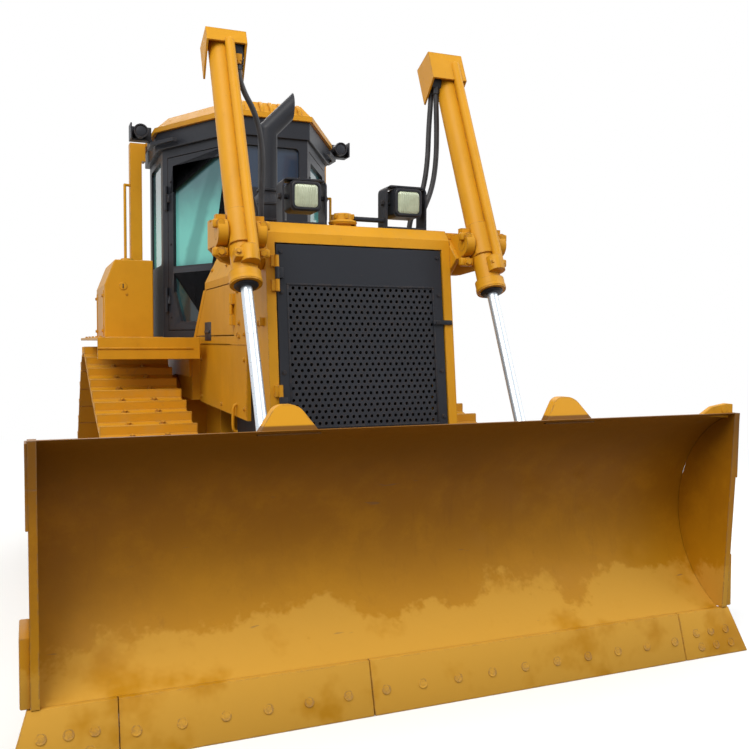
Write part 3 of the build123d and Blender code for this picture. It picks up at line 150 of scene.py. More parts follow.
class Finish:
    """The node tree of one material or world, built from expressions."""

    def __init__(self, owner):
        self.owner = owner
        owner.use_nodes = True
        self.tree = owner.node_tree
        self.tree.nodes.clear()
        self.coords = self.add("ShaderNodeTexCoord")
        self.position = self.out(self.coords, "Object")

    def add(self, kind, settings=None, inputs=None):
        node = self.tree.nodes.new(kind)
        for key, value in (settings or {}).items():
            if key == "stops":
                ramp = node.color_ramp
                while len(ramp.elements) < len(value):
                    ramp.elements.new(0.5)
                for element, (place, colour) in zip(ramp.elements, value):
                    element.position = place
                    element.color = colour
            else:
                setattr(node, key, value)
        for key, value in (inputs or {}).items():
            self.feed(node.inputs[key], value)
        return node

    def feed(self, socket, value):
        if isinstance(value, Field):
            self.tree.links.new(value.socket, socket)
        elif isinstance(value, (int, float)) or not hasattr(socket, "default_value"):
            socket.default_value = value
        else:
            value = tuple(value)
            size = len(socket.default_value)
            socket.default_value = value + (1.0,) * (size - len(value))

    def out(self, node, name=0):
        return Field(self, node.outputs[name])

    def math(self, operation, *values, clamp=False):
        node = self.add("ShaderNodeMath", {"operation": operation, "use_clamp": clamp}, dict(enumerate(values)))
        return self.out(node)

    def noise(self, scale, detail=4.0, roughness=0.6, stretch=(1, 1, 1)):
        place = self.position
        if tuple(stretch) != (1, 1, 1):
            place = self.out(self.add("ShaderNodeMapping", None, {"Vector": place, "Scale": stretch}))
        node = self.add("ShaderNodeTexNoise", None, {
            "Vector": place, "Scale": scale, "Detail": detail, "Roughness": roughness})
        return self.out(node, "Fac")

    def step(self, value, low, high):
        """0 below low and 1 above high, with a soft slope between."""
        node = self.add("ShaderNodeMapRange", {"interpolation_type": "SMOOTHSTEP"}, {
            "Value": value, "From Min": low, "From Max": high, "To Min": 0.0, "To Max": 1.0})
        return self.out(node, "Result")

    def mix(self, share, first, second):
        node = self.add("ShaderNodeMix", {"data_type": "RGBA"}, {0: share, 6: first, 7: second})
        return self.out(node, 2)

    def axis(self, which, vector=None):
        node = self.add("ShaderNodeSeparateXYZ", None, {0: vector or self.position})
        return self.out(node, which)

    def facing_up(self):
        return self.axis("Z", self.out(self.coords, "Normal"))

    def edges(self, width):
        """Near 1 along outer and inner edges."""
        soft = self.out(self.add("ShaderNodeBevel", {"samples": 4}, {"Radius": width}))
        hard = self.out(self.add("ShaderNodeNewGeometry"), "Normal")
        dot = self.add("ShaderNodeVectorMath", {"operation": "DOT_PRODUCT"}, {0: soft, 1: hard})
        return self.step(1 - self.out(dot, "Value"), 0.01, 0.12)

    def seen_plainly(self):
        """1 for camera, glossy and transmission rays, which show the pale background."""
        path = self.add("ShaderNodeLightPath")
        shows = self.math("ADD", self.out(path, "Is Camera Ray"), self.out(path, "Is Glossy Ray"), clamp=True)
        return self.math("ADD", shows, self.out(path, "Is Transmission Ray"), clamp=True)

    def bump(self, height, distance, strength=1.0, under=None):
        inputs = {"Height": height, "Distance": distance, "Strength": strength}
        if under is not None:
            inputs["Normal"] = under
        return self.out(self.add("ShaderNodeBump", None, inputs))

    def shade(self, **inputs):
        named = {key.replace("_", " "): value for key, value in inputs.items()}
        shader = self.add("ShaderNodeBsdfPrincipled", None, named)
        self.add("ShaderNodeOutputMaterial", None, {"Surface": self.out(shader)})
        return self.owner


def new_finish(name):
    return Finish(bpy.data.materials.new(name))


def make_painted_finish(name, base, faded, dust_amount, wear, gloss):
    """Sprayed machine paint with faded patches, dust on level faces and chips along edges."""
    f = new_finish(name)
    colours = paint()
    patches = f.step(f.noise(1.3, 5, 0.62), 0.38, 0.68)
    fine = f.noise(22.0, 6, 0.7)
    colour = f.mix(patches * 0.45, base, faded)
    streaks = f.step(f.noise(9.0, 3, 0.5, (1, 1, 0.12)), 0.5, 0.8)
    colour = f.mix(streaks * 0.14, colour, [c * 0.5 for c in faded])
    level = f.step(f.facing_up(), 0.35, 0.95)
    low = 1 - f.step(f.axis("Z"), 0.25, 1.15)
    spread = (level * 0.8 + low * 0.5) * f.step(fine + f.noise(3.1, 4) * 0.8, 0.72, 1.15)
    soil = f.math("MULTIPLY", spread, dust_amount, clamp=True)
    colour = f.mix(soil, colour, colours.dust)
    edge = f.edges(0.012)
    grime = f.step(f.noise(13.0, 5, 0.65) + edge * 0.25, 0.62, 0.85) * 0.3
    colour = f.mix(grime, colour, [c * 0.35 for c in faded])
    chips = f.step(edge * f.noise(34.0, 5, 0.7), 0.45, 0.58) * wear
    specks = f.step(f.noise(60.0, 2, 0.5), 0.745, 0.77) * wear * 0.6
    bare = f.math("MAXIMUM", chips, specks)
    colour = f.mix(bare, colour, colours.steel)
    rough = soil * 0.4 + bare * 0.25 + fine * 0.12 + (gloss - 0.06)
    peel = f.bump(f.noise(420.0, 2, 0.5), 0.0004, 0.35)
    return f.shade(Base_Color=colour, Roughness=rough, Normal=f.bump(fine - bare * 0.5, 0.0016, 0.5, peel),
                   IOR=1.5, Specular_IOR_Level=0.22)


def make_blade_finish():
    """Paint darker than the body's yellow, partly dirt and partly painted shade, with more painted shade darkening it
    towards the rolled top, and a wavy tide of pale soil along the foot.
    """
    f = new_finish("blade_paint")
    colours = paint()
    high = f.axis("Z")
    broad = f.noise(1.6, 5, 0.6)
    fine = f.noise(26.0, 6, 0.7)
    # painted shade: the colour darkens from the foot up the curve; the lower tone is itself dirtier paint together
    # with painted shade
    middle = f.step(high + (broad - 0.5) * 0.3, 0.30, 0.80)
    colour = f.mix(middle, (0.46, 0.205, 0.004), (0.33, 0.132, 0.003))
    # painted shade: the rolled top, which leans over and faces down, is painted darkest
    upper = f.step(high + (broad - 0.5) * 0.25, 0.78, 1.12)
    colour = f.mix(upper, colour, (0.185, 0.072, 0.003))
    mottle = f.step(f.noise(5.0, 6, 0.7), 0.42, 0.7)
    colour = f.mix(mottle * (1 - upper) * 0.30, colour, (0.56, 0.25, 0.006))
    scrub = f.step(f.noise(16.0, 4, 0.6, (1.0, 1.0, 0.18)), 0.56, 0.8)
    colour = f.mix(scrub * 0.26, colour, (0.20, 0.075, 0.005))
    tide = high + (f.noise(2.3, 5, 0.68) - 0.5) * 0.62 + (fine - 0.5) * 0.07
    soil = (1 - f.step(tide, 0.34, 0.39)) * f.step(f.noise(2.9, 4, 0.6), 0.33, 0.5)
    colour = f.mix(soil * 0.82, colour, (0.60, 0.315, 0.04))
    colour = f.mix(f.step(high, 1.188, 1.196), colour, colours.yellow)
    edge = f.edges(0.012)
    chips = f.step(edge * f.noise(34.0, 5, 0.7), 0.40, 0.55) * 0.7
    marks = f.step(f.noise(11.0, 3, 0.5, (0.4, 1.0, 2.4)), 0.73, 0.76) * 0.5
    bare = f.math("MAXIMUM", chips, marks)
    colour = f.mix(bare, colour, colours.steel)
    peel = f.bump(f.noise(380.0, 2, 0.5), 0.0004, 0.35)
    return f.shade(Base_Color=colour, Roughness=fine * 0.16 + soil * 0.25 + 0.40,
                   Normal=f.bump(fine * 0.6 + soil * 0.4 - bare * 0.5, 0.0022, 0.5, peel), IOR=1.5,
                   Specular_IOR_Level=0.22)


def make_track_finish():
    """Painted shoes, scraped to brown steel on the grousers, with patches of soil."""
    f = new_finish("track_paint")
    colours = paint()
    worn = f.step(f.noise(7.0, 6, 0.7) + f.edges(0.016) * 0.35, 0.60, 0.84)
    colour = f.mix(f.noise(3.0, 4) * 0.4, colours.yellow, colours.yellow_shade)
    colour = f.mix(worn * 0.6, colour, colours.steel)
    soil = f.step(f.noise(4.0, 5, 0.65), 0.50, 0.74) * 0.4
    colour = f.mix(soil, colour, colours.dust)
    rough = worn * 0.15 + soil * 0.3 + 0.46
    return f.shade(Base_Color=colour, Roughness=rough, Metallic=worn * 0.3, Specular_IOR_Level=0.25,
                   Normal=f.bump(f.noise(55.0, 6, 0.75), 0.003, 0.5))


def make_steel_finish(name, colour, rough, rust, metal=1.0):
    f = new_finish(name)
    brushed = f.noise(60.0, 3, 0.6, (0.2, 1, 1))
    patch = f.step(f.noise(5.0, 6, 0.7), 0.45, 0.7) * rust
    shade = f.mix(patch, colour, (0.16, 0.07, 0.03))
    return f.shade(Base_Color=shade, Metallic=metal - patch * 0.8, Roughness=brushed * 0.2 + patch * 0.35 + rough,
                   Normal=f.bump(brushed, 0.001, 0.25))


def make_rubber_finish():
    f = new_finish("hose_rubber")
    weave = f.noise(300.0, 2, 0.5)
    colour = f.mix(f.step(f.noise(12.0, 4), 0.4, 0.75), (0.012, 0.012, 0.014), (0.035, 0.034, 0.038))
    return f.shade(Base_Color=colour, Roughness=weave * 0.2 + 0.48, Normal=f.bump(weave, 0.0006, 0.4))


def make_core_finish():
    """Close upright cooling fins over dark tubes."""
    f = new_finish("core_fins")
    fins = f.out(f.add("ShaderNodeTexWave", {"bands_direction": "X"}, {"Vector": f.position, "Scale": 38.0}), "Fac")
    return f.shade(Base_Color=f.mix(fins, (0.004, 0.004, 0.005), (0.016, 0.015, 0.015)), Roughness=0.6,
                   Normal=f.bump(fins, 0.004, 0.6), Specular_IOR_Level=0.2)


def make_glazing():
    """Tinted panes with painted reflection and shade by height: blue-grey above, turquoise in the middle and dark low
    down, with the front pane darker.
    """
    f = new_finish("cab_glazing")
    high = f.axis("Z")
    smear = f.noise(3.0, 4, 0.6)
    # painted reflection and shade: the colour changes with height, dark low down and blue-grey high up
    colour = f.mix(f.step(high + smear * 0.16, 2.02, 2.24), (0.020, 0.036, 0.044), (0.20, 0.68, 0.62))
    colour = f.mix(f.step(high + smear * 0.2, 2.35, 2.85), colour, (0.085, 0.20, 0.225))
    # painted reflection of a beam: a darker teal band along a slanting line across the side panes
    beam = f.step(f.math("ABSOLUTE", f.axis("Y") * 0.9 + high * 0.35 - 1.42 + (smear - 0.5) * 0.1), 0.03, 0.08)
    colour = f.mix((1 - beam) * 0.45, colour, (0.03, 0.12, 0.13))
    front = 1 - f.step(f.axis("Y"), 0.33, 0.36)
    colour = f.mix(front, colour, (0.036, 0.056, 0.095))
    return f.shade(Base_Color=colour, Roughness=smear * 0.06 + 0.04, IOR=1.45, Alpha=0.90 - smear * 0.05)


def make_lens_finish():
    f = new_finish("lamp_lens")
    ribs = f.out(f.add("ShaderNodeTexWave", {"bands_direction": "X"}, {"Vector": f.position, "Scale": 26.0}), "Fac")
    blotch = f.noise(18.0, 2, 0.5)
    return f.shade(Base_Color=f.mix(blotch, (0.56, 0.61, 0.42), (0.30, 0.34, 0.22)), Roughness=ribs * 0.15 + 0.12,
                   Metallic=blotch * 0.2, Normal=f.bump(ribs, 0.003, 0.6), IOR=1.5, Coat_Weight=0.6)


def make_cloth_finish():
    f = new_finish("seat_cloth")
    weave = f.noise(900.0, 1, 0.4)
    return f.shade(Base_Color=f.mix(weave, (0.015, 0.015, 0.018), (0.045, 0.045, 0.05)), Roughness=0.9,
                   Normal=f.bump(weave, 0.0008, 0.6), Sheen_Weight=0.3)


def make_plastic_finish():
    f = new_finish("console_plastic")
    grain = f.noise(500.0, 2, 0.5)
    return f.shade(Base_Color=f.mix(f.noise(6.0, 3), (0.03, 0.03, 0.032), (0.05, 0.05, 0.052)), Roughness=0.55,
                   Normal=f.bump(grain, 0.0005, 0.5))


FINISHES = {}


def make_finishes():
    colours = paint()
    black = tuple(colours.black)
    FINISHES.update({
        "yellow": make_painted_finish("yellow_paint", colours.yellow, colours.yellow_shade, 0.45, 0.55, 0.46),
        "blade": make_blade_finish(),
        "black": make_painted_finish("black_paint", black, [c * 1.5 for c in black], 0.08, 0.2, 0.44),
        "track": make_track_finish(),
        "steel": make_steel_finish("worn_steel", (0.30, 0.27, 0.23), 0.34, 0.55),
        "chrome": make_steel_finish("chrome_rod", (0.62, 0.68, 0.74), 0.20, 0.0, 0.65),
        "rubber": make_rubber_finish(),
        "core": make_core_finish(),
        "glass": make_glazing(),
        "lens": make_lens_finish(),
        "cloth": make_cloth_finish(),
        "plastic": make_plastic_finish(),
    })


# ---------------------------------------------------------------- shapes
def join(bm, part):
    """Moves one bmesh's content into another."""
    holder = bpy.data.meshes.new("part")
    part.to_mesh(holder)
    part.free()
    bm.from_mesh(holder)
    bpy.data.meshes.remove(holder)


def along(start, end):
    """A transform that puts Z along start to end, with its origin halfway."""
    direction = Vector(end) - Vector(start)
    turn = direction.to_track_quat("Z", "Y").to_matrix().to_4x4()
    return Matrix.Translation((Vector(start) + Vector(end)) / 2) @ turn


def add_cylinder(bm, start, end, radius, sides=32, end_radius=None):
    depth = (Vector(end) - Vector(start)).length
    last = radius if end_radius is None else end_radius
    return bmesh.ops.create_cone(bm, cap_ends=True, segments=sides, radius1=radius, radius2=last, depth=depth,
                                 matrix=along(start, end))["verts"]


def add_box(bm, low, high, rounding=0.0, segments=2, place=None):
    """A box between two corners, its edges rounded; place turns it afterwards."""
    part = bmesh.new()
    low, high = Vector(low), Vector(high)
    size = Matrix.Diagonal((*(high - low), 1.0))
    bmesh.ops.create_cube(part, size=1, matrix=Matrix.Translation((low + high) / 2) @ size)
    if rounding:
        round_edges(part, part.edges[:], rounding, segments)
    if place is not None:
        part.transform(place)
    join(bm, part)


def round_edges(bm, edges, width, segments=2):
    return bmesh.ops.bevel(bm, geom=list(edges), offset=width, segments=segments, profile=0.5, affect="EDGES",
                           material=-1, clamp_overlap=True)


def add_prism(bm, outline, push, rounding=0.0, segments=1):
    """A flat outline of points, pushed out into a solid."""
    part = bmesh.new()
    face = part.faces.new([part.verts.new(point) for point in outline])
    made = bmesh.ops.extrude_face_region(part, geom=[face])["geom"]
    verts = [item for item in made if isinstance(item, bmesh.types.BMVert)]
    bmesh.ops.translate(part, vec=push, verts=verts)
    bmesh.ops.recalc_face_normals(part, faces=part.faces)
    if rounding:
        round_edges(part, part.edges[:], rounding, segments)
    join(bm, part)


def add_turned(bm, base, axis, profile, steps=36):
    """A closed shape turned about an axis from base, from (reach along it, radius) pairs that start and end at 0."""
    part = bmesh.new()
    verts = [part.verts.new((radius, 0, reach)) for reach, radius in profile]
    edges = [part.edges.new(pair) for pair in zip(verts, verts[1:])]
    bmesh.ops.spin(part, geom=verts + edges, cent=(0, 0, 0), axis=(0, 0, 1), angle=math.tau, steps=steps,
                   use_merge=True)
    bmesh.ops.remove_doubles(part, verts=part.verts, dist=1e-4)
    bmesh.ops.recalc_face_normals(part, faces=part.faces)
    part.transform(Matrix.Translation(base) @ Vector(axis).to_track_quat("Z", "Y").to_matrix().to_4x4())
    join(bm, part)


def add_bolt(bm, place, normal, head=None):
    head = head or sizes().bolt_head * 1000
    place, normal = Vector(place), Vector(normal).normalized()
    add_cylinder(bm, place - normal * 2, place + normal * head * 0.12, head * 0.78, 16)
    add_cylinder(bm, place, place + normal * head * 0.55, head * 0.577, 6, head * 0.53)


def add_bolt_ring(bm, centre, radius, count, head, start=0.0):
    """Bolts at even steps round a circle that faces along X, at a place on its plane."""
    centre = Vector(centre)
    for index in range(count):
        angle = start + math.tau * index / count
        add_bolt(bm, centre + Vector((0, math.cos(angle), math.sin(angle))) * radius, OUTWARD, head)


def add_pipe(bm, points, radius):
    """A bent round bar along points, from a curve with a bevel."""
    curve = bpy.data.curves.new("bar", "CURVE")
    curve.dimensions = "3D"
    curve.bevel_depth = radius
    curve.bevel_resolution = 3
    curve.use_fill_caps = True
    curve.resolution_u = 6
    spline = curve.splines.new("NURBS")
    spline.points.add(len(points) - 1)
    for knot, point in zip(spline.points, points):
        knot.co = Vector(point).to_4d()
    spline.order_u = 3
    spline.use_endpoint_u = True
    holder = bpy.data.objects.new("bar", curve)
    bpy.context.scene.collection.objects.link(holder)
    mesh = bpy.data.meshes.new_from_object(holder.evaluated_get(bpy.context.evaluated_depsgraph_get()))
    bm.from_mesh(mesh)
    bpy.data.objects.remove(holder)
    bpy.data.curves.remove(curve)
    bpy.data.meshes.remove(mesh)


def mirror_across(bm):
    """Adds the other side's copy."""
    copy = bmesh.ops.duplicate(bm, geom=bm.verts[:] + bm.edges[:] + bm.faces[:])["geom"]
    verts = [item for item in copy if isinstance(item, bmesh.types.BMVert)]
    faces = [item for item in copy if isinstance(item, bmesh.types.BMFace)]
    bmesh.ops.transform(bm, matrix=MIRROR_X, verts=verts)
    bmesh.ops.reverse_faces(bm, faces=faces)


def flip_across(bm):
    """Turns a bmesh into the other side's copy."""
    bm.transform(MIRROR_X)
    bmesh.ops.reverse_faces(bm, faces=bm.faces)


def place_piece(name, bm, body, finish, replaces=(), smooth=35, bevel=0.0):
    bm.transform(TO_ROW)
    mesh = bpy.data.meshes.new(name)
    bm.to_mesh(mesh)
    bm.free()
    mesh.materials.append(FINISHES[finish])
    mesh.shade_smooth()
    mesh.set_sharp_from_angle(angle=math.radians(smooth))
    piece = bpy.data.objects.new(name, mesh)
    bpy.context.scene.collection.objects.link(piece)
    if bevel:
        modifier = piece.modifiers.new("edges", "BEVEL")
        modifier.width = bevel / 1000
        modifier.segments = 2
        modifier.limit_method = "ANGLE"
        modifier.angle_limit = math.radians(32)
        modifier.harden_normals = True
    if replaces:
        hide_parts(*replaces)
    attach(piece, body)
    return piece


def place_both_sides(body, finish, smooth=35, **pieces):
    """Places each named bmesh together with the other side's copy."""
    for name, bm in pieces.items():
        mirror_across(bm)
        place_piece(name, bm, body, finish, (), smooth)


def cad_shape(node):
    """A merged copy of a CAD node's mesh in drafting millimetres, its flat triangles joined."""
    bm = bmesh.new()
    bm.from_mesh(frame["nodes"][node].data)
    bmesh.ops.remove_doubles(bm, verts=bm.verts, dist=1e-5)
    bmesh.ops.dissolve_limit(bm, angle_limit=math.radians(0.6), verts=bm.verts, edges=bm.edges)
    bm.transform(TO_DRAFT)
    return bm


def dress(node, finish, bevel=4.0, smooth=35, bm=None):
    return place_piece(node + "_body", bm or cad_shape(node), NODE_BODY[node], finish, (node,), smooth, bevel)


def straight_edges(bm, direction, inside):
    """Edges along a direction whose middle passes a test."""
    chosen = []
    for edge in bm.edges:
        run = edge.verts[1].co - edge.verts[0].co
        if run.length > 1.0 and abs(run.normalized().dot(direction)) > 0.999:
            if inside((edge.verts[0].co + edge.verts[1].co) / 2):
                chosen.append(edge)
    return chosen


def guard_front(z):
    return GUARD_TOP_Y - (GUARD_HIGH - z) * GUARD_LEAN


def grille_place():
    """The transform of the grille door's own frame: across, back and up its leaning face, from its foot."""
    rise = Vector((0, GUARD_LEAN, 1)).normalized()
    back = Vector((0, 1, -GUARD_LEAN)).normalized()
    turn = Matrix((Vector(OUTWARD), back, rise)).transposed().to_4x4()
    return Matrix.Translation((0, guard_front(GRILLE_LOW) + 4, GRILLE_LOW)) @ turn


def on_lift(distance, side=0.0, across=LIFT_X):
    """A place in a lift cylinder's own frame: down from its yoke pin, rearwards from its axis, and across."""
    run = Vector((-467.0, -1063.0)).normalized()
    return Vector((across, LIFT_Y + run.x * distance - run.y * side, LIFT_Z + run.y * distance + run.x * side))


def cab_place():
    """The transform of the left door's own frame: along the slanting wall, inwards, and up."""
    return Matrix.Translation(CAB_CORNER) @ Matrix.Rotation(CAB_SLANT, 4, "Z")


# ---------------------------------------------------------------- track path, as in the packed frame
TRACK = {"spacing": 2610, "idler": 330, "idler_z": 445, "sprocket": 404, "sprocket_y": 680,
         "sprocket_z": 980, "sag": 45, "shoes": 38, "gauge": 1880, "shoe": 560}


def track_pins():
    """Pin places along the loop round both idlers and the raised sprocket, as (y, z)."""
    circles = [(-TRACK["spacing"] / 2, TRACK["idler_z"], TRACK["idler"]),
               (TRACK["spacing"] / 2, TRACK["idler_z"], TRACK["idler"]),
               (TRACK["sprocket_y"], TRACK["sprocket_z"], TRACK["sprocket"])]
    normals = []
    for index, (y0, z0, r0) in enumerate(circles):
        y1, z1, r1 = circles[(index + 1) % 3]
        span = math.hypot(y1 - y0, z1 - z0)
        run = ((y1 - y0) / span, (z1 - z0) / span)
        lean = (r0 - r1) / span
        out = math.sqrt(1 - lean * lean)
        normals.append((run[0] * lean + run[1] * out, run[1] * lean - run[0] * out))
    path, steps = [], 24
    for index, (y0, z0, r0) in enumerate(circles):
        into, away = normals[index - 1], normals[index]
        start = math.atan2(into[1], into[0])
        turn = (math.atan2(away[1], away[0]) - start) % math.tau
        path += [(y0 + r0 * math.cos(start + turn * k / steps), z0 + r0 * math.sin(start + turn * k / steps))
                 for k in range(steps)]
        y1, z1, r1 = circles[(index + 1) % 3]
        sag = TRACK["sag"] if index == 2 else 0.0
        for k in range(steps):
            t = k / steps
            reach = r0 + (r1 - r0) * t - 4 * sag * t * (1 - t)
            path.append((y0 + (y1 - y0) * t + reach * away[0], z0 + (z1 - z0) * t + reach * away[1]))
    closed = path + path[:1]
    lengths = [0.0]
    for (y0, z0), (y1, z1) in zip(closed, closed[1:]):
        lengths.append(lengths[-1] + math.hypot(y1 - y0, z1 - z0))
    pins, segment = [], 0
    for count in range(TRACK["shoes"]):
        target = lengths[-1] / TRACK["shoes"] * (count + 0.5)
        while lengths[segment + 1] < target:
            segment += 1
        t = (target - lengths[segment]) / (lengths[segment + 1] - lengths[segment])
        (y0, z0), (y1, z1) = closed[segment], closed[segment + 1]
        pins.append((y0 + (y1 - y0) * t, z0 + (z1 - z0) * t))
    return pins


def track_shoe(pitch):
    """One shoe with its grouser, bolts, link plates and bushing; Y along the track, Z outwards."""
    bm = bmesh.new()
    half, plate, wide = pitch / 2, 50, TRACK["shoe"] / 2
    outline = [(-0.97, plate), (-0.97, plate + 12), (-0.88, plate + 65), (-0.76, plate + 65), (-0.60, plate + 13),
               (0.62, plate + 12), (0.84, plate + 25), (0.95, plate + 24), (0.97, plate + 3)]
    add_prism(bm, [(-wide, u * half, v) for u, v in outline], (2 * wide, 0, 0), 3)
    for x in (-100, 100):
        for u in (-0.28, 0.30):
            add_bolt(bm, (x, u * half, plate + 12), UPWARD, 28)
    for side in (-1, 1):
        for inner, outer, u0, u1 in ((50, 70, -1.12, 0.10), (72, 92, -0.10, 1.12)):
            link = [(u0, -34), (u0 + 0.18, -48), (u1 - 0.18, -48), (u1, -34), (u1, 30), (u1 - 0.2, plate),
                    (u0 + 0.2, plate), (u0, 30)]
            x0, x1 = sorted((side * inner, side * outer))
            add_prism(bm, [(x0, u * half, v) for u, v in link], (x1 - x0, 0, 0))
    add_cylinder(bm, (-95, half, 0), (95, half, 0), 21, 16)
    return bm


class BULLDOZER_OT_tracks(bpy.types.Operator):
    """Builds both track loops from single shoes"""
    bl_idname = "bulldozer.tracks"
    bl_label = "Tracks"

    def execute(self, context):
        pins = track_pins()
        for side, name in ((1, "left"), (-1, "right")):
            bm = bmesh.new()
            for index, (y0, z0) in enumerate(pins):
                y1, z1 = pins[(index + 1) % len(pins)]
                run = Vector((0, y1 - y0, z1 - z0))
                shoe = track_shoe(run.length)
                run.normalize()
                turn = Matrix((Vector(OUTWARD), run, Vector((0, run.z, -run.y)))).transposed().to_4x4()
                shoe.transform(Matrix.Translation((side * TRACK["gauge"] / 2, (y0 + y1) / 2, (z0 + z1) / 2)) @ turn)
                join(bm, shoe)
            bmesh.ops.recalc_face_normals(bm, faces=bm.faces)
            place_piece(f"track_{name}_shoes", bm, "tractor", "track", (f"track_{name}",))
        return {"FINISHED"}


class BULLDOZER_OT_undercarriage(bpy.types.Operator):
    """Dresses the track frames, rollers and sprockets, with their caps and bolts"""
    bl_idname = "bulldozer.undercarriage"
    bl_label = "Undercarriage"

    def execute(self, context):
        for side in ("left", "right"):
            dress(f"track_frame_{side}", "yellow", 4)
        dress("rollers", "steel", 4)
        dress("sprockets", "steel", 3)
        caps, bolts = bmesh.new(), bmesh.new()
        outer, roller_z, roller_bolts = 1068.0, 290, 62
        roller_cap = [(0, 0), (0, 44), (10, 44), (14, 40), (14, 20), (9, 16), (9, 0)]
        idler_cap = [(0, 0), (0, 56), (16, 56), (22, 50), (22, 26), (15, 20), (15, 0)]
        hub_cap = [(0, 0), (0, 178), (8, 178), (16, 168), (22, 96), (34, 84), (34, 0)]
        for count in range(7):
            y = (count - 3) * 305.0
            add_turned(caps, (outer - 1, y, roller_z), OUTWARD, roller_cap, 28)
            for turn in (0.7, 2.4):
                add_bolt(bolts, (outer, y + roller_bolts * math.cos(turn), roller_z + roller_bolts * math.sin(turn)),
                         OUTWARD, 22)
        for y in (-TRACK["spacing"] / 2, TRACK["spacing"] / 2):
            add_turned(caps, (outer - 1, y, TRACK["idler_z"]), OUTWARD, idler_cap, 36)
            add_bolt_ring(bolts, (outer + 21, y, TRACK["idler_z"]), 38, 6, 14)
        hub = Vector((1054.0, TRACK["sprocket_y"], TRACK["sprocket_z"]))
        add_turned(caps, hub, OUTWARD, hub_cap, 48)
        for reach, radius, count, head, start in ((0, 202, 16, 24, 0), (32, 58, 6, 18, 0), (-82, 330, 20, 26, 0.1)):
            add_bolt_ring(bolts, hub + Vector((reach, 0, 0)), radius, count, head, start)
        for y0, y1 in ((-960, -420), (-330, 40), (470, 860)):
            add_box(caps, (outer - 1, y0, 398), (outer + 6, y1, 478), 2)
            for y in (y0 + 28, y1 - 28):
                for z in (416, 460):
                    add_bolt(bolts, (outer + 6, y, z), OUTWARD, 18)
        place_both_sides("tractor", "yellow", running_gear_caps=caps, running_gear_bolts=bolts)
        return {"FINISHED"}


# ---------------------------------------------------------------- blade
HUMP_FOOT, HUMP_LEAN = 1190, 0.5
FOOT, BELLY, TOP = (-2615.0, 205.0), (-2330.0, 650.0), (-2707.0, 1177.0)
EDGE_FRONT = Vector((0, -210.0, 91.2)).normalized()
EDGE_OUTLINE = [(-2704, 1), (-2677, 1), (-2613.8, 208), (-2641, 208)]


def circle_through(a, b, c):
    """Centre and radius of the circle through three (y, z) points."""
    (ax, ay), (bx, by), (cx, cy) = a, b, c
    d = 2 * (ax * (by - cy) + bx * (cy - ay) + cx * (ay - by))
    ux = ((ax**2 + ay**2) * (by - cy) + (bx**2 + by**2) * (cy - ay) + (cx**2 + cy**2) * (ay - by)) / d
    uy = ((ax**2 + ay**2) * (cx - bx) + (bx**2 + by**2) * (ax - cx) + (cx**2 + cy**2) * (bx - ax)) / d
    return (ux, uy), math.hypot(ax - ux, ay - uy)


# Dents in the plate: across and height up the curve from 0 to 1, then width, height and depth in metres
DENTS = [(0.62, 0.55, 0.16, 0.10, 0.012), (0.30, 0.60, 0.30, 0.14, 0.007), (-0.05, 0.50, 0.25, 0.2, 0.005),
         (0.40, 0.42, 0.09, 0.07, 0.009), (0.97, 0.47, 0.07, 0.05, 0.010), (0.92, 0.60, 0.05, 0.04, 0.008),
         (1.25, 0.28, 0.08, 0.05, 0.007), (-0.7, 0.42, 0.4, 0.2, 0.006), (0.82, 0.25, 0.3, 0.12, 0.005),
         (-1.2, 0.55, 0.3, 0.25, 0.006), (0.1, 0.2, 0.5, 0.1, 0.004)]


def moldboard_depth(x, share):
    """How far the plate is pushed in from the true curve at one place, in millimetres."""
    depth = 0.0
    for across, up, wide, high, deep in DENTS:
        depth += deep * math.exp(-(((x - across) / wide) ** 2 + ((share - up) / high) ** 2) * 3)
    wave = noise.noise(Vector((x * 1.7, share * 2.2, 3.1))) * 0.0022
    return (depth + wave + 0.0022) * 1000


def add_plow_bolt(bm, place, normal):
    """A countersunk bolt worn almost flush: a shallow ring with a square head sunk in it."""
    add_turned(bm, place - normal * 2, normal, [(0, 0), (0, 21), (3.6, 20), (3.6, 16), (2.2, 14), (2.2, 0)], 24)
    add_cylinder(bm, place - normal, place + normal, 10, 4)


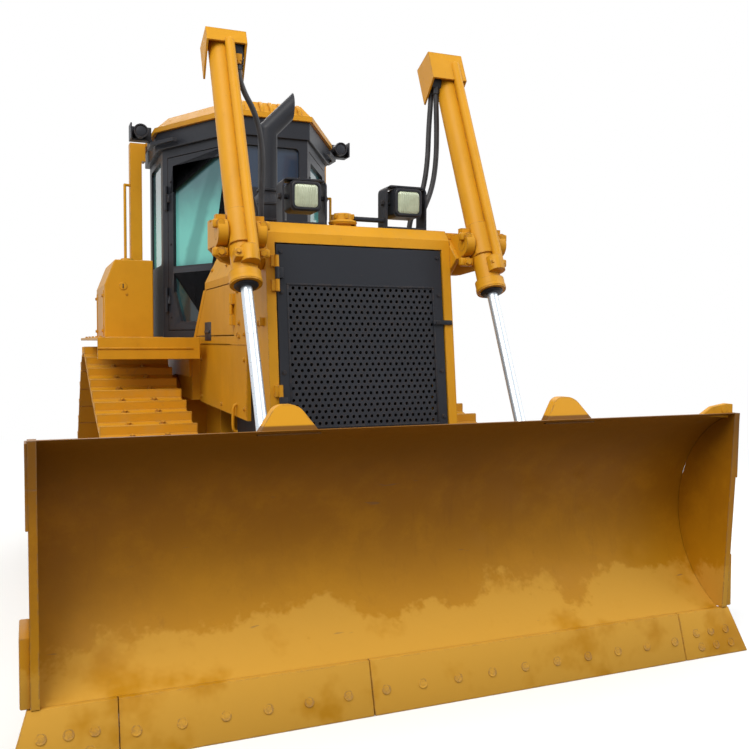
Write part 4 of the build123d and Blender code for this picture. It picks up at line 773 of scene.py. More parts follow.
class BULLDOZER_OT_blade(bpy.types.Operator):
    """Builds the moldboard's rolled face over the blade's frame, with its wear plates and lifting ears"""
    bl_idname = "bulldozer.blade"
    bl_label = "Blade"

    def execute(self, context):
        (cy, cz), radius = circle_through(FOOT, BELLY, TOP)
        start = math.atan2(FOOT[1] - cz, FOOT[0] - cy)
        last = math.atan2(TOP[1] - cz, TOP[0] - cy)
        last += math.tau * round((start - last) / math.tau)
        back = cad_shape("moldboard")
        front = [face for face in back.faces
                 if all(abs(math.hypot(v.co.y - cy, v.co.z - cz) - radius) < 2.0 for v in face.verts)
                 and max(abs(v.co.x) for v in face.verts) < 1571.5]
        bmesh.ops.delete(back, geom=front, context="FACES")
        humps = straight_edges(back, Vector(BEHIND), lambda p: p.z > 1262 and abs(abs(p.x) - LIFT_X) < 60)
        round_edges(back, humps, 30, 6)
        for vert in back.verts:
            if vert.co.z > HUMP_FOOT and abs(abs(vert.co.x) - LIFT_X) < 160:
                vert.co.y += (vert.co.z - HUMP_FOOT) * HUMP_LEAN
        ears, wear = bmesh.new(), bmesh.new()
        add_box(wear, (1599, -2636, 212), (1636, -2400, 470), 6)
        add_prism(wear, [(1599, -2690, 860), (1599, -2698, 1168), (1599, -2600, 1168), (1599, -2500, 900)],
                  (10, 0, 0), 2)
        add_prism(ears, [(1395, -2662, 1165), (1600, -2662, 1150), (1600, -2662, 1218), (1560, -2662, 1222),
                         (1470, -2662, 1208)], (0, 26, 0), 3)
        add_turned(ears, (1545, -2664, 1192), BEHIND, [(0, 0), (0, 17), (30, 17), (30, 0)], 20)
        mirror_across(wear)
        place_piece("moldboard_frame", back, "blade", "blade", ("moldboard",), 35, 4)
        place_piece("moldboard_wear_plates", wear, "blade", "blade")
        place_piece("moldboard_ears", ears, "blade", "yellow")
        bm = bmesh.new()
        half_width, border_rows = 1569.0, 10
        bmesh.ops.create_grid(bm, x_segments=220, y_segments=56, size=0.5)
        for vert in bm.verts:
            share = vert.co.y + 0.5
            x = vert.co.x * 2 * half_width
            angle = start + (last - start) * share
            border = min(1.0, min(share, 1 - share) * border_rows)
            r = radius + moldboard_depth(x / 1000, share) * border
            vert.co = (x, cy + r * math.cos(angle), cz + r * math.sin(angle))
        bmesh.ops.recalc_face_normals(bm, faces=bm.faces)
        if sum(face.normal.y for face in bm.faces) > 0:
            bmesh.ops.reverse_faces(bm, faces=bm.faces)
        place_piece("moldboard_plate", bm, "blade", "blade")
        return {"FINISHED"}


class BULLDOZER_OT_cutting_edges(bpy.types.Operator):
    """Bolts the cutting edge's segments and the end bits to the blade's foot"""
    bl_idname = "bulldozer.cutting_edges"
    bl_label = "Cutting edges"

    def execute(self, context):
        plates, bolts = bmesh.new(), bmesh.new()
        segments, bit_start, bit_width, bit_taper = ((-1299, -307), (-303, 1297)), 1302, 377, 66
        for x0, x1 in segments:
            add_prism(plates, [(x0, y, z) for y, z in EDGE_OUTLINE], (x1 - x0, 0, 0), 3, 2)
        for side in (-1, 1):
            bit = bmesh.new()
            add_prism(bit, [(side * bit_start, y, z) for y, z in EDGE_OUTLINE], (side * bit_width, 0, 0))
            for vert in bit.verts:
                if abs(vert.co.x) > bit_start + 1 and vert.co.z > EDGE_OUTLINE[0][1] + 1:
                    vert.co.x -= side * bit_taper
            round_edges(bit, bit.edges[:], 3)
            bmesh.ops.recalc_face_normals(bit, faces=bit.faces)
            join(plates, bit)
        bmesh.ops.recalc_face_normals(plates, faces=plates.faces)

        def on_face(x, z):
            (y0, z0), (y1, z1) = EDGE_OUTLINE[0], EDGE_OUTLINE[3]
            return Vector((x, y0 + (z - z0) * (y1 - y0) / (z1 - z0), z)) + EDGE_FRONT * 0.5

        row_shift, edge_row, edge_step = 18, 92, 166
        for row, z in enumerate((114, 51)):
            for x in (1385, 1475, 1568):
                for side in (-1, 1):
                    add_plow_bolt(bolts, on_face(side * (x + row * row_shift), z), EDGE_FRONT)
        for x in range(-1240, 1260, edge_step):
            add_plow_bolt(bolts, on_face(x, edge_row), EDGE_FRONT)
        place_piece("cutting_edge_plates", plates, "blade", "blade", ("cutting_edges",))
        place_piece("cutting_edge_bolts", bolts, "blade", "blade")
        return {"FINISHED"}


class BULLDOZER_OT_push_arms(bpy.types.Operator):
    """Dresses the push arms, the brace and the tilt cylinder"""
    bl_idname = "bulldozer.push_arms"
    bl_label = "Push arms"

    def execute(self, context):
        for side in ("left", "right"):
            dress(f"push_arm_{side}", "yellow", 6)
        dress("brace", "yellow", 3)
        dress("tilt_cylinder", "yellow", 3)
        caps, bolts = bmesh.new(), bmesh.new()
        trunnion = Vector((1330, 250, 480))
        trunnion_cap = [(0, 0), (0, 92), (10, 92), (16, 84), (16, 40), (10, 34), (10, 0)]
        add_turned(caps, trunnion, OUTWARD, trunnion_cap, 40)
        add_bolt_ring(bolts, trunnion + Vector((15, 0, 0)), 64, 8, 20)
        low, high = Vector((1329, -2290, 215)), Vector((1341, -2120, 425))
        add_box(caps, low, high, 3)
        for y in (low.y + 35, high.y - 35):
            for z in (low.z + 35, high.z - 35):
                add_bolt(bolts, (high.x, y, z), OUTWARD, 28)
        place_both_sides("blade", "yellow", push_arm_caps=caps, push_arm_bolts=bolts)
        return {"FINISHED"}


# ---------------------------------------------------------------- lift cylinders
class BULLDOZER_OT_lift_cylinders(bpy.types.Operator):
    """Dresses the lift barrels, rods and yokes, with bolted caps, glands and port blocks"""
    bl_idname = "bulldozer.lift_cylinders"
    bl_label = "Lift cylinders"

    def execute(self, context):
        down = (on_lift(100) - on_lift(0)).normalized()
        ahead = (on_lift(0, -100) - on_lift(0)).normalized()
        for name, side in (("left", 1), ("right", -1)):
            barrel = cad_shape(f"lift_barrel_{name}")
            if side < 0:
                high = [vert for vert in barrel.verts if (vert.co - on_lift(0, 0, vert.co.x)).dot(down) < -1000]
                bmesh.ops.translate(barrel, vec=down * GUARD_DROP, verts=high)
            dress(f"lift_barrel_{name}", "yellow", 2.5, 40, barrel)
            dress(f"lift_rod_{name}", "chrome", 1, 40)
            bands, bolts, wiper_fittings_and_shade_block = bmesh.new(), bmesh.new(), bmesh.new()
            gland = [(0, 0), (0, 67), (3, 76), (8, 78), (22, 78), (28, 72), (28, 0)]
            add_turned(bands, on_lift(246), down, gland, 48)
            add_turned(wiper_fittings_and_shade_block, on_lift(273), down, [(0, 0), (0, 56), (8, 58), (16, 50), (18, 31), (18, 0)], 40)
            block = on_lift(150, -78, LIFT_X + 17)
            turn = Matrix((Vector(OUTWARD), -ahead, down)).transposed().to_4x4()
            add_box(bands, (-42, -12, -26), (42, 50, 26), 7, 3, Matrix.Translation(block) @ turn)
            for across in (-26, 26):
                add_bolt(bolts, block + Vector((across, 0, 0)) + ahead * 12, ahead, 20)
            # A black block for the hose fittings, which also stands for painted shade under the cylinder's guard
            add_box(wiper_fittings_and_shade_block, (540, -1472, 2952), (600, -1388, 3078), 8, 2)
            for route in (f"hose_{name}_front", f"hose_{name}_rear"):
                x, y, z = HOSE_ROUTES[route][0]
                add_cylinder(wiper_fittings_and_shade_block, (abs(x), y, z - 62), (abs(x), y, z - 22), 23, 6)
                add_cylinder(wiper_fittings_and_shade_block, (abs(x), y, z - 24), (abs(x), y, z + 6), 18, 20)
            for bm, piece, finish in ((bands, "bands", "yellow"), (bolts, "bolts", "yellow"),
                                      (wiper_fittings_and_shade_block, "fittings", "black")):
                if side < 0:
                    flip_across(bm)
                place_piece(f"lift_barrel_{name}_{piece}", bm, f"lift_barrel_{name}", finish, (), 40)
        dress("yokes", "yellow", 6, 40)
        caps, bolts = bmesh.new(), bmesh.new()
        for x0 in (516.0, 716.0):
            x1 = x0 + 68
            for up in (-1, 1):
                z = LIFT_Z - 28 + up * 66
                add_box(caps, (x0 - 3, LIFT_Y - 34, z - 21), (x1 + 3, LIFT_Y + 3, z + 21), 9, 3)
                middle = Vector(((x0 + x1) / 2, LIFT_Y - 33, z))
                add_turned(caps, middle, AHEAD, [(0, 0), (0, 19), (3, 19), (3, 0)], 20)
                add_bolt(bolts, middle + Vector((0, -3, 0)), AHEAD, 30)
        for z in (1915, 2085):
            add_bolt(bolts, (525, LIFT_Y + 140, z), AHEAD, 26)
        add_prism(caps, [(508, -1830, 1960), (508, -1700, 2090), (508, -1660, 2090), (508, -1660, 1890),
                         (508, -1720, 1872)], (26, 0, 0), 4)
        place_both_sides("tractor", "yellow", 40, yoke_caps=caps, yoke_bolts=bolts)
        return {"FINISHED"}


# ---------------------------------------------------------------- nose
class BULLDOZER_OT_grille(bpy.types.Operator):
    """Builds the grille door: a frame with a bare upper band round a sheet of staggered round holes"""
    bl_idname = "bulldozer.grille"
    bl_label = "Grille"

    def execute(self, context):
        place = grille_place()
        high = 933.0 * math.hypot(1, GUARD_LEAN)
        half, wide, low, top = GRILLE_HALF - 0.5, 394.0, 30.0, 735.0
        frame_bars = bmesh.new()
        for corner, far in (((-half, 0, 1), (half, 40, low)), ((-half, 0, top), (half, 40, high)),
                            ((-half, 0, low - 1), (-wide, 40, top + 1)), ((wide, 0, low - 1), (half, 40, top + 1))):
            add_box(frame_bars, corner, far)
        bmesh.ops.remove_doubles(frame_bars, verts=frame_bars.verts, dist=0.01)
        sheet = bmesh.new()
        across, down = sizes().grille_columns * 2, sizes().grille_rows
        bmesh.ops.create_grid(sheet, x_segments=across, y_segments=down, size=0.5)
        step_x, step_z = 2 * wide / across, (top - low) / down
        sheet.transform(Matrix.Translation((0, 3, (top + low) / 2)) @ Matrix.Rotation(math.radians(90), 4, "X")
                        @ Matrix.Diagonal((2 * wide, top - low, 1, 1)))
        chosen = []
        for face in sheet.faces:
            centre = face.calc_center_median()
            column, row = int((centre.x + wide) / step_x), int((centre.z - low) / step_z)
            if (column + row) % 2 == 0:
                chosen.append(face)
        bmesh.ops.inset_individual(sheet, faces=chosen, thickness=0.8, use_even_offset=True)
        hole = 7.6
        for face in chosen:
            centre = face.calc_center_median()
            bmesh.ops.scale(sheet, vec=(hole / (step_x / 2 - 0.8), 1, hole / (step_z / 2 - 0.8)), verts=face.verts,
                            space=Matrix.Translation(-centre))
        corners = list({vert for face in chosen for vert in face.verts})
        bmesh.ops.bevel(sheet, geom=corners, offset=hole * 0.58, segments=1, profile=0.5, affect="VERTICES",
                        material=-1)
        holes = [face for face in sheet.faces if len(face.verts) == 8 and face.calc_area() < (2.3 * hole) ** 2
                 and max(abs(v.co.x - face.calc_center_median().x) for v in face.verts) < hole + 0.5]
        bmesh.ops.delete(sheet, geom=holes, context="FACES_ONLY")
        bmesh.ops.recalc_face_normals(sheet, faces=sheet.faces)
        bmesh.ops.solidify(sheet, geom=sheet.faces[:], thickness=5)
        bmesh.ops.recalc_face_normals(sheet, faces=sheet.faces)
        trim, bolts = bmesh.new(), bmesh.new()
        rim = 9
        for x0, z0, x1, z1 in ((-wide - rim, low - rim, wide + rim, low), (-wide - rim, top, wide + rim, top + rim),
                               (-wide - rim, low, -wide, top), (wide, low, wide + rim, top)):
            add_box(trim, (x0, -2.5, z0), (x1, 2, z1), 1)
        for start in (120.5, 760.5):
            add_cylinder(trim, (-GRILLE_HALF - 3, -21, start), (-GRILLE_HALF - 3, -21, start + 59), 11, 20)
            add_box(trim, (-GRILLE_HALF, -27, start + 3), (-GRILLE_HALF + 28, 3, start + 56), 2)
        add_box(trim, (388, -15, 542), (498, -7, 566), 3)
        add_box(trim, (398, -8, 546), (436, 2, 562), 1)
        for x in (408, 428):
            add_bolt(bolts, (x, -15, 554), AHEAD, 9)
        for x in (-430, 430):
            for z in (60, 300, 700, 900):
                add_bolt(bolts, (x, 0, z), AHEAD, 16)
        for name, bm in (("frame", frame_bars), ("sheet", sheet), ("trim", trim), ("bolts", bolts)):
            bm.transform(place)
            place_piece(f"grille_{name}", bm, "grille_door", "black", () if name == "bolts" else ("grille_door",))
        return {"FINISHED"}


class BULLDOZER_OT_nose(bpy.types.Operator):
    """Dresses the radiator guard, hood, side sheets and engine doors, with their latches and bolts"""
    bl_idname = "bulldozer.nose"
    bl_label = "Nose and hood"

    def execute(self, context):
        dress("radiator_guard", "yellow", 7)
        dress("radiator_core", "core", 1)
        dress("hood", "yellow", 5)
        dress("side_sheets", "yellow", 2)
        dress("cowl", "yellow", 4)
        dress("engine_block", "black", 10)
        trim, bolts = bmesh.new(), bmesh.new()
        radiator_cap = Matrix.Translation((-53, -1625, 2130))
        add_turned(trim, radiator_cap.translation, UPWARD, [(0, 0), (0, 70), (12, 76), (20, 70), (24, 56), (50, 54),
                                                            (58, 46), (58, 0)], 40)
        for index in range(6):
            turn = Matrix.Rotation(math.tau * index / 6, 4, "Z")
            add_box(trim, (-9, 44, 28), (9, 62, 56), 4, 2, radiator_cap @ turn)
        panel = bmesh.new()
        for z in (1150, 1380, 1610, 1840):
            add_bolt(panel, (507, -1640, z), OUTWARD, 24)
        for y in (-1500, -1150, -700, -260):
            add_bolt(panel, (462, y, 1984), (0.9, 0, 0.44), 20)
        for y, z in ((-1290, 1560), (-1290, 1800), (-1130, 1560), (-1130, 1800), (-1290, 1150), (-1290, 1420),
                     (-60, 1150), (-60, 1400), (-700, 1140)):
            add_bolt(panel, (500, y, z), OUTWARD, 18)
        add_box(panel, (499, -1344, 1500), (503, -8, 1507), 1)
        add_box(panel, (499, -1344, 1110), (503, -1328, 1500), 1)
        add_pipe(panel, [(498, -1110, 1165), (522, -1110, 1165), (524, -1108, 1090), (522, -1104, 1010),
                         (498, -1104, 1010)], 9)
        add_box(panel, (505, -1741, 1596), (530, -1716, 1640), 4)
        mirror_across(panel)
        join(bolts, panel)
        place_piece("hood_trim", trim, "tractor", "yellow")
        place_piece("hood_bolts", bolts, "tractor", "yellow")
        for name, side in (("left", 1), ("right", -1)):
            dress(f"engine_door_{name}", "yellow", 2)
            rim, slot = bmesh.new(), bmesh.new()
            add_box(rim, (499, -960, 1500), (503, -60, 1507), 1.5)
            for z in (1548, 1622):
                add_bolt(rim, (500, -1170, z), OUTWARD, 20)
            add_box(slot, (496, -385, 1524), (502.5, -182, 1646), 5, 3)
            add_box(slot, (498, -352, 1572), (512, -215, 1592), 5, 3)
            for bm, piece, finish in ((rim, "rim", "yellow"), (slot, "latch", "black")):
                if side < 0:
                    flip_across(bm)
                place_piece(f"engine_door_{name}_{piece}", bm, f"engine_door_{name}", finish)
        stack = cad_shape("exhaust_stack")
        mouth = [face for face in stack.faces if face.normal.x > 0.99 and face.calc_center_median().z > 2850]
        mouth = bmesh.ops.dissolve_faces(stack, faces=mouth)["region"]
        bmesh.ops.inset_region(stack, faces=mouth, thickness=4, depth=0)
        inner = bmesh.ops.extrude_discrete_faces(stack, faces=mouth)["faces"]
        bmesh.ops.translate(stack, vec=(-45, 0, -45), verts=list({vert for face in inner for vert in face.verts}))
        dress("exhaust_stack", "black", 1.5, 40, stack)
        rings = bmesh.new()
        stack_x, stack_y = -235, -800
        for z, radius in ((2112, 96), (2236, 114), (2330, 114), (2420, 64)):
            ring = [(0, 0), (0, radius), (3, radius + 4), (13, radius + 4), (16, radius), (16, 0)]
            add_turned(rings, (stack_x, stack_y, z), UPWARD, ring, 40)
        for index in range(6):
            turn = math.tau * index / 6
            add_bolt(rings, (stack_x + 84 * math.cos(turn), stack_y + 84 * math.sin(turn), 2128), UPWARD, 16)
        place_piece("stack_rings", rings, "tractor", "black", (), 40)
        return {"FINISHED"}


class BULLDOZER_OT_lamps(bpy.types.Operator):
    """Dresses the head lamps and work lamps, and gives them bezels and ribbed lenses"""
    bl_idname = "bulldozer.lamps"
    bl_label = "Lamps"

    def execute(self, context):
        dress("lamps", "black", 3)
        work = cad_shape("work_lamps")
        bmesh.ops.bisect_plane(work, geom=work.verts[:] + work.edges[:] + work.faces[:], dist=0.01,
                               plane_co=(0, ROOF_SHOULDER, 0), plane_no=(0, 1, 0))
        for vert in work.verts:
            if vert.co.y < ROOF_SHOULDER and abs(vert.co.x) < 740:
                vert.co.x -= math.copysign((ROOF_SHOULDER - vert.co.y) * ROOF_SLANT, vert.co.x)
        dress("work_lamps", "black", 2, 35, work)
        bezels, lenses = bmesh.new(), bmesh.new()
        lamp_x, lamp_z = 282, 2254
        for bm, y, size, corner, steps in (
            (bezels, -1714, (152, 16, 142), 26, ((4, 3), (9, 0), (2, -9))),
            (lenses, -1717, (124, 10, 114), 20, ((8, 4), (8, 2))),
        ):
            plate = bmesh.new()
            bmesh.ops.create_cube(plate, size=1, matrix=Matrix.Translation((lamp_x, y, lamp_z)) @ Matrix.Diagonal(
                (*size, 1)))
            round_edges(plate, straight_edges(plate, Vector(BEHIND), lambda p: True), corner, 5)
            front = [face for face in plate.faces if face.normal.y < -0.99]
            for thickness, depth in steps:
                bmesh.ops.inset_region(plate, faces=front, thickness=thickness, depth=depth)
            join(bm, plate)
        for side in (-1, 1):
            add_bolt(bezels, (lamp_x + side * 118, -1655, lamp_z), (side, 0, 0), 26)
        work_rim = [(0, 0), (0, 50), (8, 54), (16, 52), (16, 44), (6, 40), (6, 0)]
        add_turned(bezels, (790, 742, 3085), AHEAD, work_rim, 32)
        add_turned(bezels, (790, 738, 3085), AHEAD, [(0, 0), (0, 40), (4, 38), (8, 20), (9, 0)], 32)
        place_both_sides("tractor", "black", lamp_bezels=bezels)
        place_both_sides("tractor", "lens", lamp_lenses=lenses)
        return {"FINISHED"}


# ---------------------------------------------------------------- cab
def roof_outline(grow, z):
    """The roof's six corners at one height, from the front left round to the front right."""
    half = [(288 + grow * 0.5, -60 - grow), (698 + grow, ROOF_SHOULDER - grow * 0.4), (698 + grow, 1455 + grow)]
    return [(x, y, z) for x, y in half] + [(-x, y, z) for x, y in reversed(half)]


def add_cushion(bm, half, crown, place, grooves):
    """A crowned closed pad: its sides pull in between the corners, with sewn channels along its length."""
    squareness, pull_in, seam_width, seam_depth = 7, 0.045, 0.05, 7
    part = bmesh.new()
    bmesh.ops.create_cube(part, size=2)
    bmesh.ops.subdivide_edges(part, edges=part.edges, cuts=19, use_grid_fill=True)
    for vert in part.verts:
        u, v, w = vert.co * sum(abs(c) ** squareness for c in vert.co) ** (-1 / squareness)
        u0, v0 = u * (1 - pull_in * (1 - v * v)), v * (1 - pull_in * (1 - u * u))
        seam = sum(math.exp(-((u - groove) / seam_width) ** 2) for groove in grooves) * (1 - v ** 6)
        lift = crown * (1 - u * u) * (1 - v * v) - seam_depth * seam * w if w > 0 else 0.0
        vert.co = (u0 * half[0], v0 * half[1], w * half[2] + lift)
    part.transform(place)
    join(bm, part)


class BULLDOZER_OT_cab(bpy.types.Operator):
    """Dresses the cab's frame, doors, glass, roof and rollover posts"""
    bl_idname = "bulldozer.cab"
    bl_label = "Cab"

    def execute(self, context):
        place = cab_place()
        wall = place.to_3x3() @ Vector(BEHIND)
        cab = cad_shape("cab_frame")
        round_edges(cab, straight_edges(cab, Vector(BEHIND), lambda p: (p.y < 40 and abs(abs(p.x) - 205) < 2)
                                        or (p.y > 1340 and abs(abs(p.x) - 480) < 2)), 32, 5)
        round_edges(cab, straight_edges(cab, Vector(OUTWARD), lambda p: abs(p.x) > 580 and 780 < p.y < 1320
                                        and (abs(p.z - 2100) < 2 or abs(p.z - 2880) < 2)), 32, 5)
        dress("cab_frame", "black", 3, 35, cab)
        for name, side in (("left", 1), ("right", -1)):
            door = cad_shape(f"cab_door_{name}")
            if side < 0:
                door.transform(MIRROR_X)
            inverse = place.inverted()

            def in_window(point):
                local = inverse @ point
                return 120 < local.x < 692 and 1660 < local.z < 2816

            round_edges(door, straight_edges(door, wall, in_window), 26, 5)
            if side < 0:
                door.transform(MIRROR_X)
            dress(f"cab_door_{name}", "black", 2.5, 35, door)
            dress(f"door_glass_{name}", "glass", 0.5)
            trim = bmesh.new()
            for x in (96, 716):
                for z in (1700, 2240, 2700):
                    add_bolt(trim, (x, 0, z), AHEAD, 12)
            add_box(trim, (72, -10, 2010), (124, 2, 2100), 4, 2)
            trim.transform(place)
            if side < 0:
                flip_across(trim)
            place_piece(f"cab_door_{name}_trim", trim, f"cab_door_{name}", "black")
        dress("cab_glass", "glass", 0.5)
        band, cap = bmesh.new(), bmesh.new()
        add_prism(band, roof_outline(-22, ROOF_LOW), (0, 0, 128))
        add_prism(cap, roof_outline(0, ROOF_LOW + 126), (0, 0, 36))
        top = [face for face in cap.faces if face.normal.z > 0.99]
        bmesh.ops.inset_region(cap, faces=top, thickness=14, depth=0)
        bmesh.ops.inset_region(cap, faces=top, thickness=96, depth=88)
        for x in range(-204, 205, 68):
            add_prism(cap, [(x - 13, -50, 3100), (x - 13, -42, 3140), (x - 13, 20, 3193), (x - 13, 70, 3193),
                            (x - 13, 70, 3150)], (26, 0, 0), 4)
        for side in (-1, 1):
            lump = Matrix.Diagonal((side, 1, 1, 1)) @ place
            add_box(cap, (330, -16, 3092), (420, 42, 3124), 8, 3, lump)
        bmesh.ops.recalc_face_normals(cap, faces=cap.faces)
        place_piece("cab_roof_cap", cap, "tractor", "yellow", ("cab_roof",), 35, 6)
        place_piece("cab_roof_band", band, "tractor", "black", ("cab_roof",), 35, 6)
        dress("rops_posts", "yellow", 6)
        bolts = bmesh.new()
        for x in (742, 808):
            for y in (1188, 1312):
                add_bolt(bolts, (x, y, 2145), UPWARD, 22)
        place_both_sides("tractor", "yellow", cab_bolts=bolts)
        rails = bmesh.new()
        add_pipe(rails, [(420, 1402, 2120), (420, 1440, 2130), (420, 1442, 2500), (420, 1440, 2860),
                         (420, 1402, 2870)], 11)
        place_piece("cab_rails", rails, "tractor", "black")
        return {"FINISHED"}


class BULLDOZER_OT_seat(bpy.types.Operator):
    """Builds the padded seat, and the console's levers and gauges"""
    bl_idname = "bulldozer.seat"
    bl_label = "Seat and controls"

    def execute(self, context):
        dress("seat_frame", "black", 4)
        dress("console", "plastic", 8)
        base = bmesh.new()
        add_cushion(base, (240, 232, 52), 22, Matrix.Translation((0, 945, 1968)), (-0.42, 0.42))
        back = bmesh.new()
        upright = Matrix.Translation((0, 1246, 2230)) @ Matrix.Rotation(math.radians(90), 4, "X")
        add_cushion(back, (228, 300, 46), 20, upright, (-0.42, 0.42))
        for bm, name in ((base, "seat_cushion"), (back, "seat_backrest")):
            bmesh.ops.recalc_face_normals(bm, faces=bm.faces)
            piece = place_piece(name, bm, "tractor", "cloth", ("seat_cushions",), 60)
        controls = bmesh.new()
        for x in (-110, 0, 110):
            add_turned(controls, (x, 190, 2420), (0, 0.5, 0.86), [(0, 0), (0, 38), (10, 40), (12, 34), (12, 0)], 24)
        for side in (-1, 1):
            for y in (900, 980, 1060):
                add_pipe(controls, [(side * 395, y, 2140), (side * 395, y - 10, 2200), (side * 390, y - 30, 2260)], 7)
                add_turned(controls, (side * 390, y - 30, 2250), (0, -0.3, 1), [(0, 0), (0, 14), (12, 20), (30, 20),
                                                                             (40, 12), (42, 0)], 20)
            add_box(controls, (side * 200 - 30, 250, 1604), (side * 200 + 30, 320, 1690), 8, 2)
        place_piece("cab_controls", controls, "tractor", "plastic")
        return {"FINISHED"}


# ---------------------------------------------------------------- tanks and rear
class BULLDOZER_OT_tanks(bpy.types.Operator):
    """Dresses the side tank, battery box, fuel tank and fenders, with caps, latches and straps"""
    bl_idname = "bulldozer.tanks"
    bl_label = "Tanks and fenders"

    def execute(self, context):
        dress("hydraulic_tank", "yellow", 9)
        dress("battery_box", "yellow", 9)
        dress("fuel_tank", "yellow", 12)
        dress("fenders", "yellow", 4)
        trim, bolts, dark = bmesh.new(), bmesh.new(), bmesh.new()
        for side in (-1, 1):
            x0, x1 = sorted((side * 600, side * 1192))
            add_box(trim, (x0, -307, 1470), (x1, -299, 1482), 4, 2)
            for y in (-200, 140, 480, 820, 1160):
                add_bolt(bolts, (side * 1165, y, 1545), UPWARD, 18)
            for row in range(5):
                low, high = sorted((side * 780, side * 1100))
                add_box(trim, (low, -230 + row * 80, 1544), (high, -200 + row * 80, 1549), 2, 2)
            add_turned(trim, (side * 860, 1120 if side < 0 else 900, 2120), UPWARD,
                       [(0, 0), (0, 66), (18, 66), (22, 52), (44, 50), (50, 42), (50, 0)], 36)
            for y in (800, 1400):
                add_box(trim, (min(side * 1062, side * 1070), y - 18, 1560),
                        (max(side * 1062, side * 1070), y + 18, 1900), 3)
                add_bolt(bolts, (side * 1070, y, 1600), (side, 0, 0), 20)
                add_bolt(bolts, (side * 1070, y, 1860), (side, 0, 0), 20)
        add_turned(trim, (-931, 721, 1929), AHEAD, [(0, 0), (0, 27), (3, 30), (7, 26), (7, 0)], 28)
        add_box(dark, (-936, 712, 1911), (-926, 721, 1947), 4, 2)
        add_bolt(bolts, (-905, 720, 1870), AHEAD, 14)
        add_turned(trim, (430, 1640, 2120), UPWARD, [(0, 0), (0, 60), (10, 66), (30, 66), (38, 58), (38, 0)], 40)
        for x in (-430, 430):
            add_box(trim, (x - 35, 1499, 2078), (x + 35, 1890, 2086), 3)
            add_box(trim, (x - 35, 1958, 1240), (x + 35, 1966, 2010), 3)
            for z in (1280, 1960):
                add_bolt(bolts, (x, 1966, z), BEHIND, 22)
        add_box(trim, (-636, 1957, 1620), (636, 1962, 1640), 2)
        for bm, name, finish in ((trim, "tank_trim", "yellow"), (bolts, "tank_bolts", "yellow"),
                                 (dark, "tank_fittings", "black")):
            place_piece(name, bm, "tractor", finish)
        return {"FINISHED"}


class BULLDOZER_OT_main_frame(bpy.types.Operator):
    """Dresses the case, belly and drawbar, with the covers and bolts that show below and behind"""
    bl_idname = "bulldozer.main_frame"
    bl_label = "Main frame"

    def execute(self, context):
        dress("main_frame", "yellow", 5)
        dress("drawbar", "yellow", 4)
        plates, bolts = bmesh.new(), bmesh.new()
        for y0, y1 in ((-1500, -1000), (-960, -420), (-380, 300), (340, 1000), (1040, 1700)):
            add_box(plates, (-340, y0, 378), (340, y1, 384), 2)
            for x in (-310, -100, 100, 310):
                for y in (y0 + 30, y1 - 30):
                    add_bolt(bolts, (x, y, 378), DOWNWARD, 24)
        for x in (-240, 240):
            add_box(plates, (x - 110, 1758, 720), (x + 110, 1768, 1150), 4)
            for dx in (-85, 85):
                for z in (860, 930, 1010):
                    add_bolt(bolts, (x + dx, 1768, z), BEHIND, 22)
        for x in (-150, 150):
            for z in (440, 560, 660):
                add_bolt(bolts, (x, 1880, z), BEHIND, 32)
        add_turned(plates, (0, 2030, 352), UPWARD, [(0, 0), (0, 20), (6, 24), (124, 24), (132, 34), (146, 34),
                                                       (150, 28), (150, 0)], 28)
        for bm, name in ((plates, "case_covers"), (bolts, "case_bolts")):
            place_piece(name, bm, "tractor", "yellow")
        return {"FINISHED"}


# ---------------------------------------------------------------- hoses
class BULLDOZER_OT_hoses(bpy.types.Operator):
    """Hangs the four lift hoses between the barrels and the hood"""
    bl_idname = "bulldozer.hoses"
    bl_label = "Hoses"

    def execute(self, context):
        for name, route in HOSE_ROUTES.items():
            points = [TO_ROW @ Vector(point) for point in route]
            line = bpy.data.curves.new(name + "_line", "CURVE")
            line.dimensions = "3D"
            line.resolution_u = 8
            spline = line.splines.new("NURBS")
            spline.points.add(len(points) - 1)
            for knot, point in zip(spline.points, points):
                knot.co = point.to_4d()
            spline.order_u = 3
            spline.use_endpoint_u = True
            holder = bpy.data.objects.new(name + "_line", line)
            context.scene.collection.objects.link(holder)
            bare = bpy.data.meshes.new_from_object(holder.evaluated_get(context.evaluated_depsgraph_get()))
            line.bevel_depth = sizes().hose_diameter / 2
            line.bevel_resolution = 4
            line.use_fill_caps = True
            context.view_layer.update()
            tube = bpy.data.meshes.new_from_object(holder.evaluated_get(context.evaluated_depsgraph_get()))
            bpy.data.objects.remove(holder)
            bm = bmesh.new()
            bm.from_mesh(tube)
            mesh = bpy.data.meshes.new(name)
            bm.to_mesh(mesh)
            bm.free()
            bpy.data.meshes.remove(tube)
            bpy.data.meshes.remove(bare)
            bpy.data.curves.remove(line)
            mesh.materials.append(FINISHES["rubber"])
            mesh.shade_smooth()
            hose = bpy.data.objects.new(name + "_tube", mesh)
            context.scene.collection.objects.link(hose)
            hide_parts(name)
            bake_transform(hose)
        return {"FINISHED"}


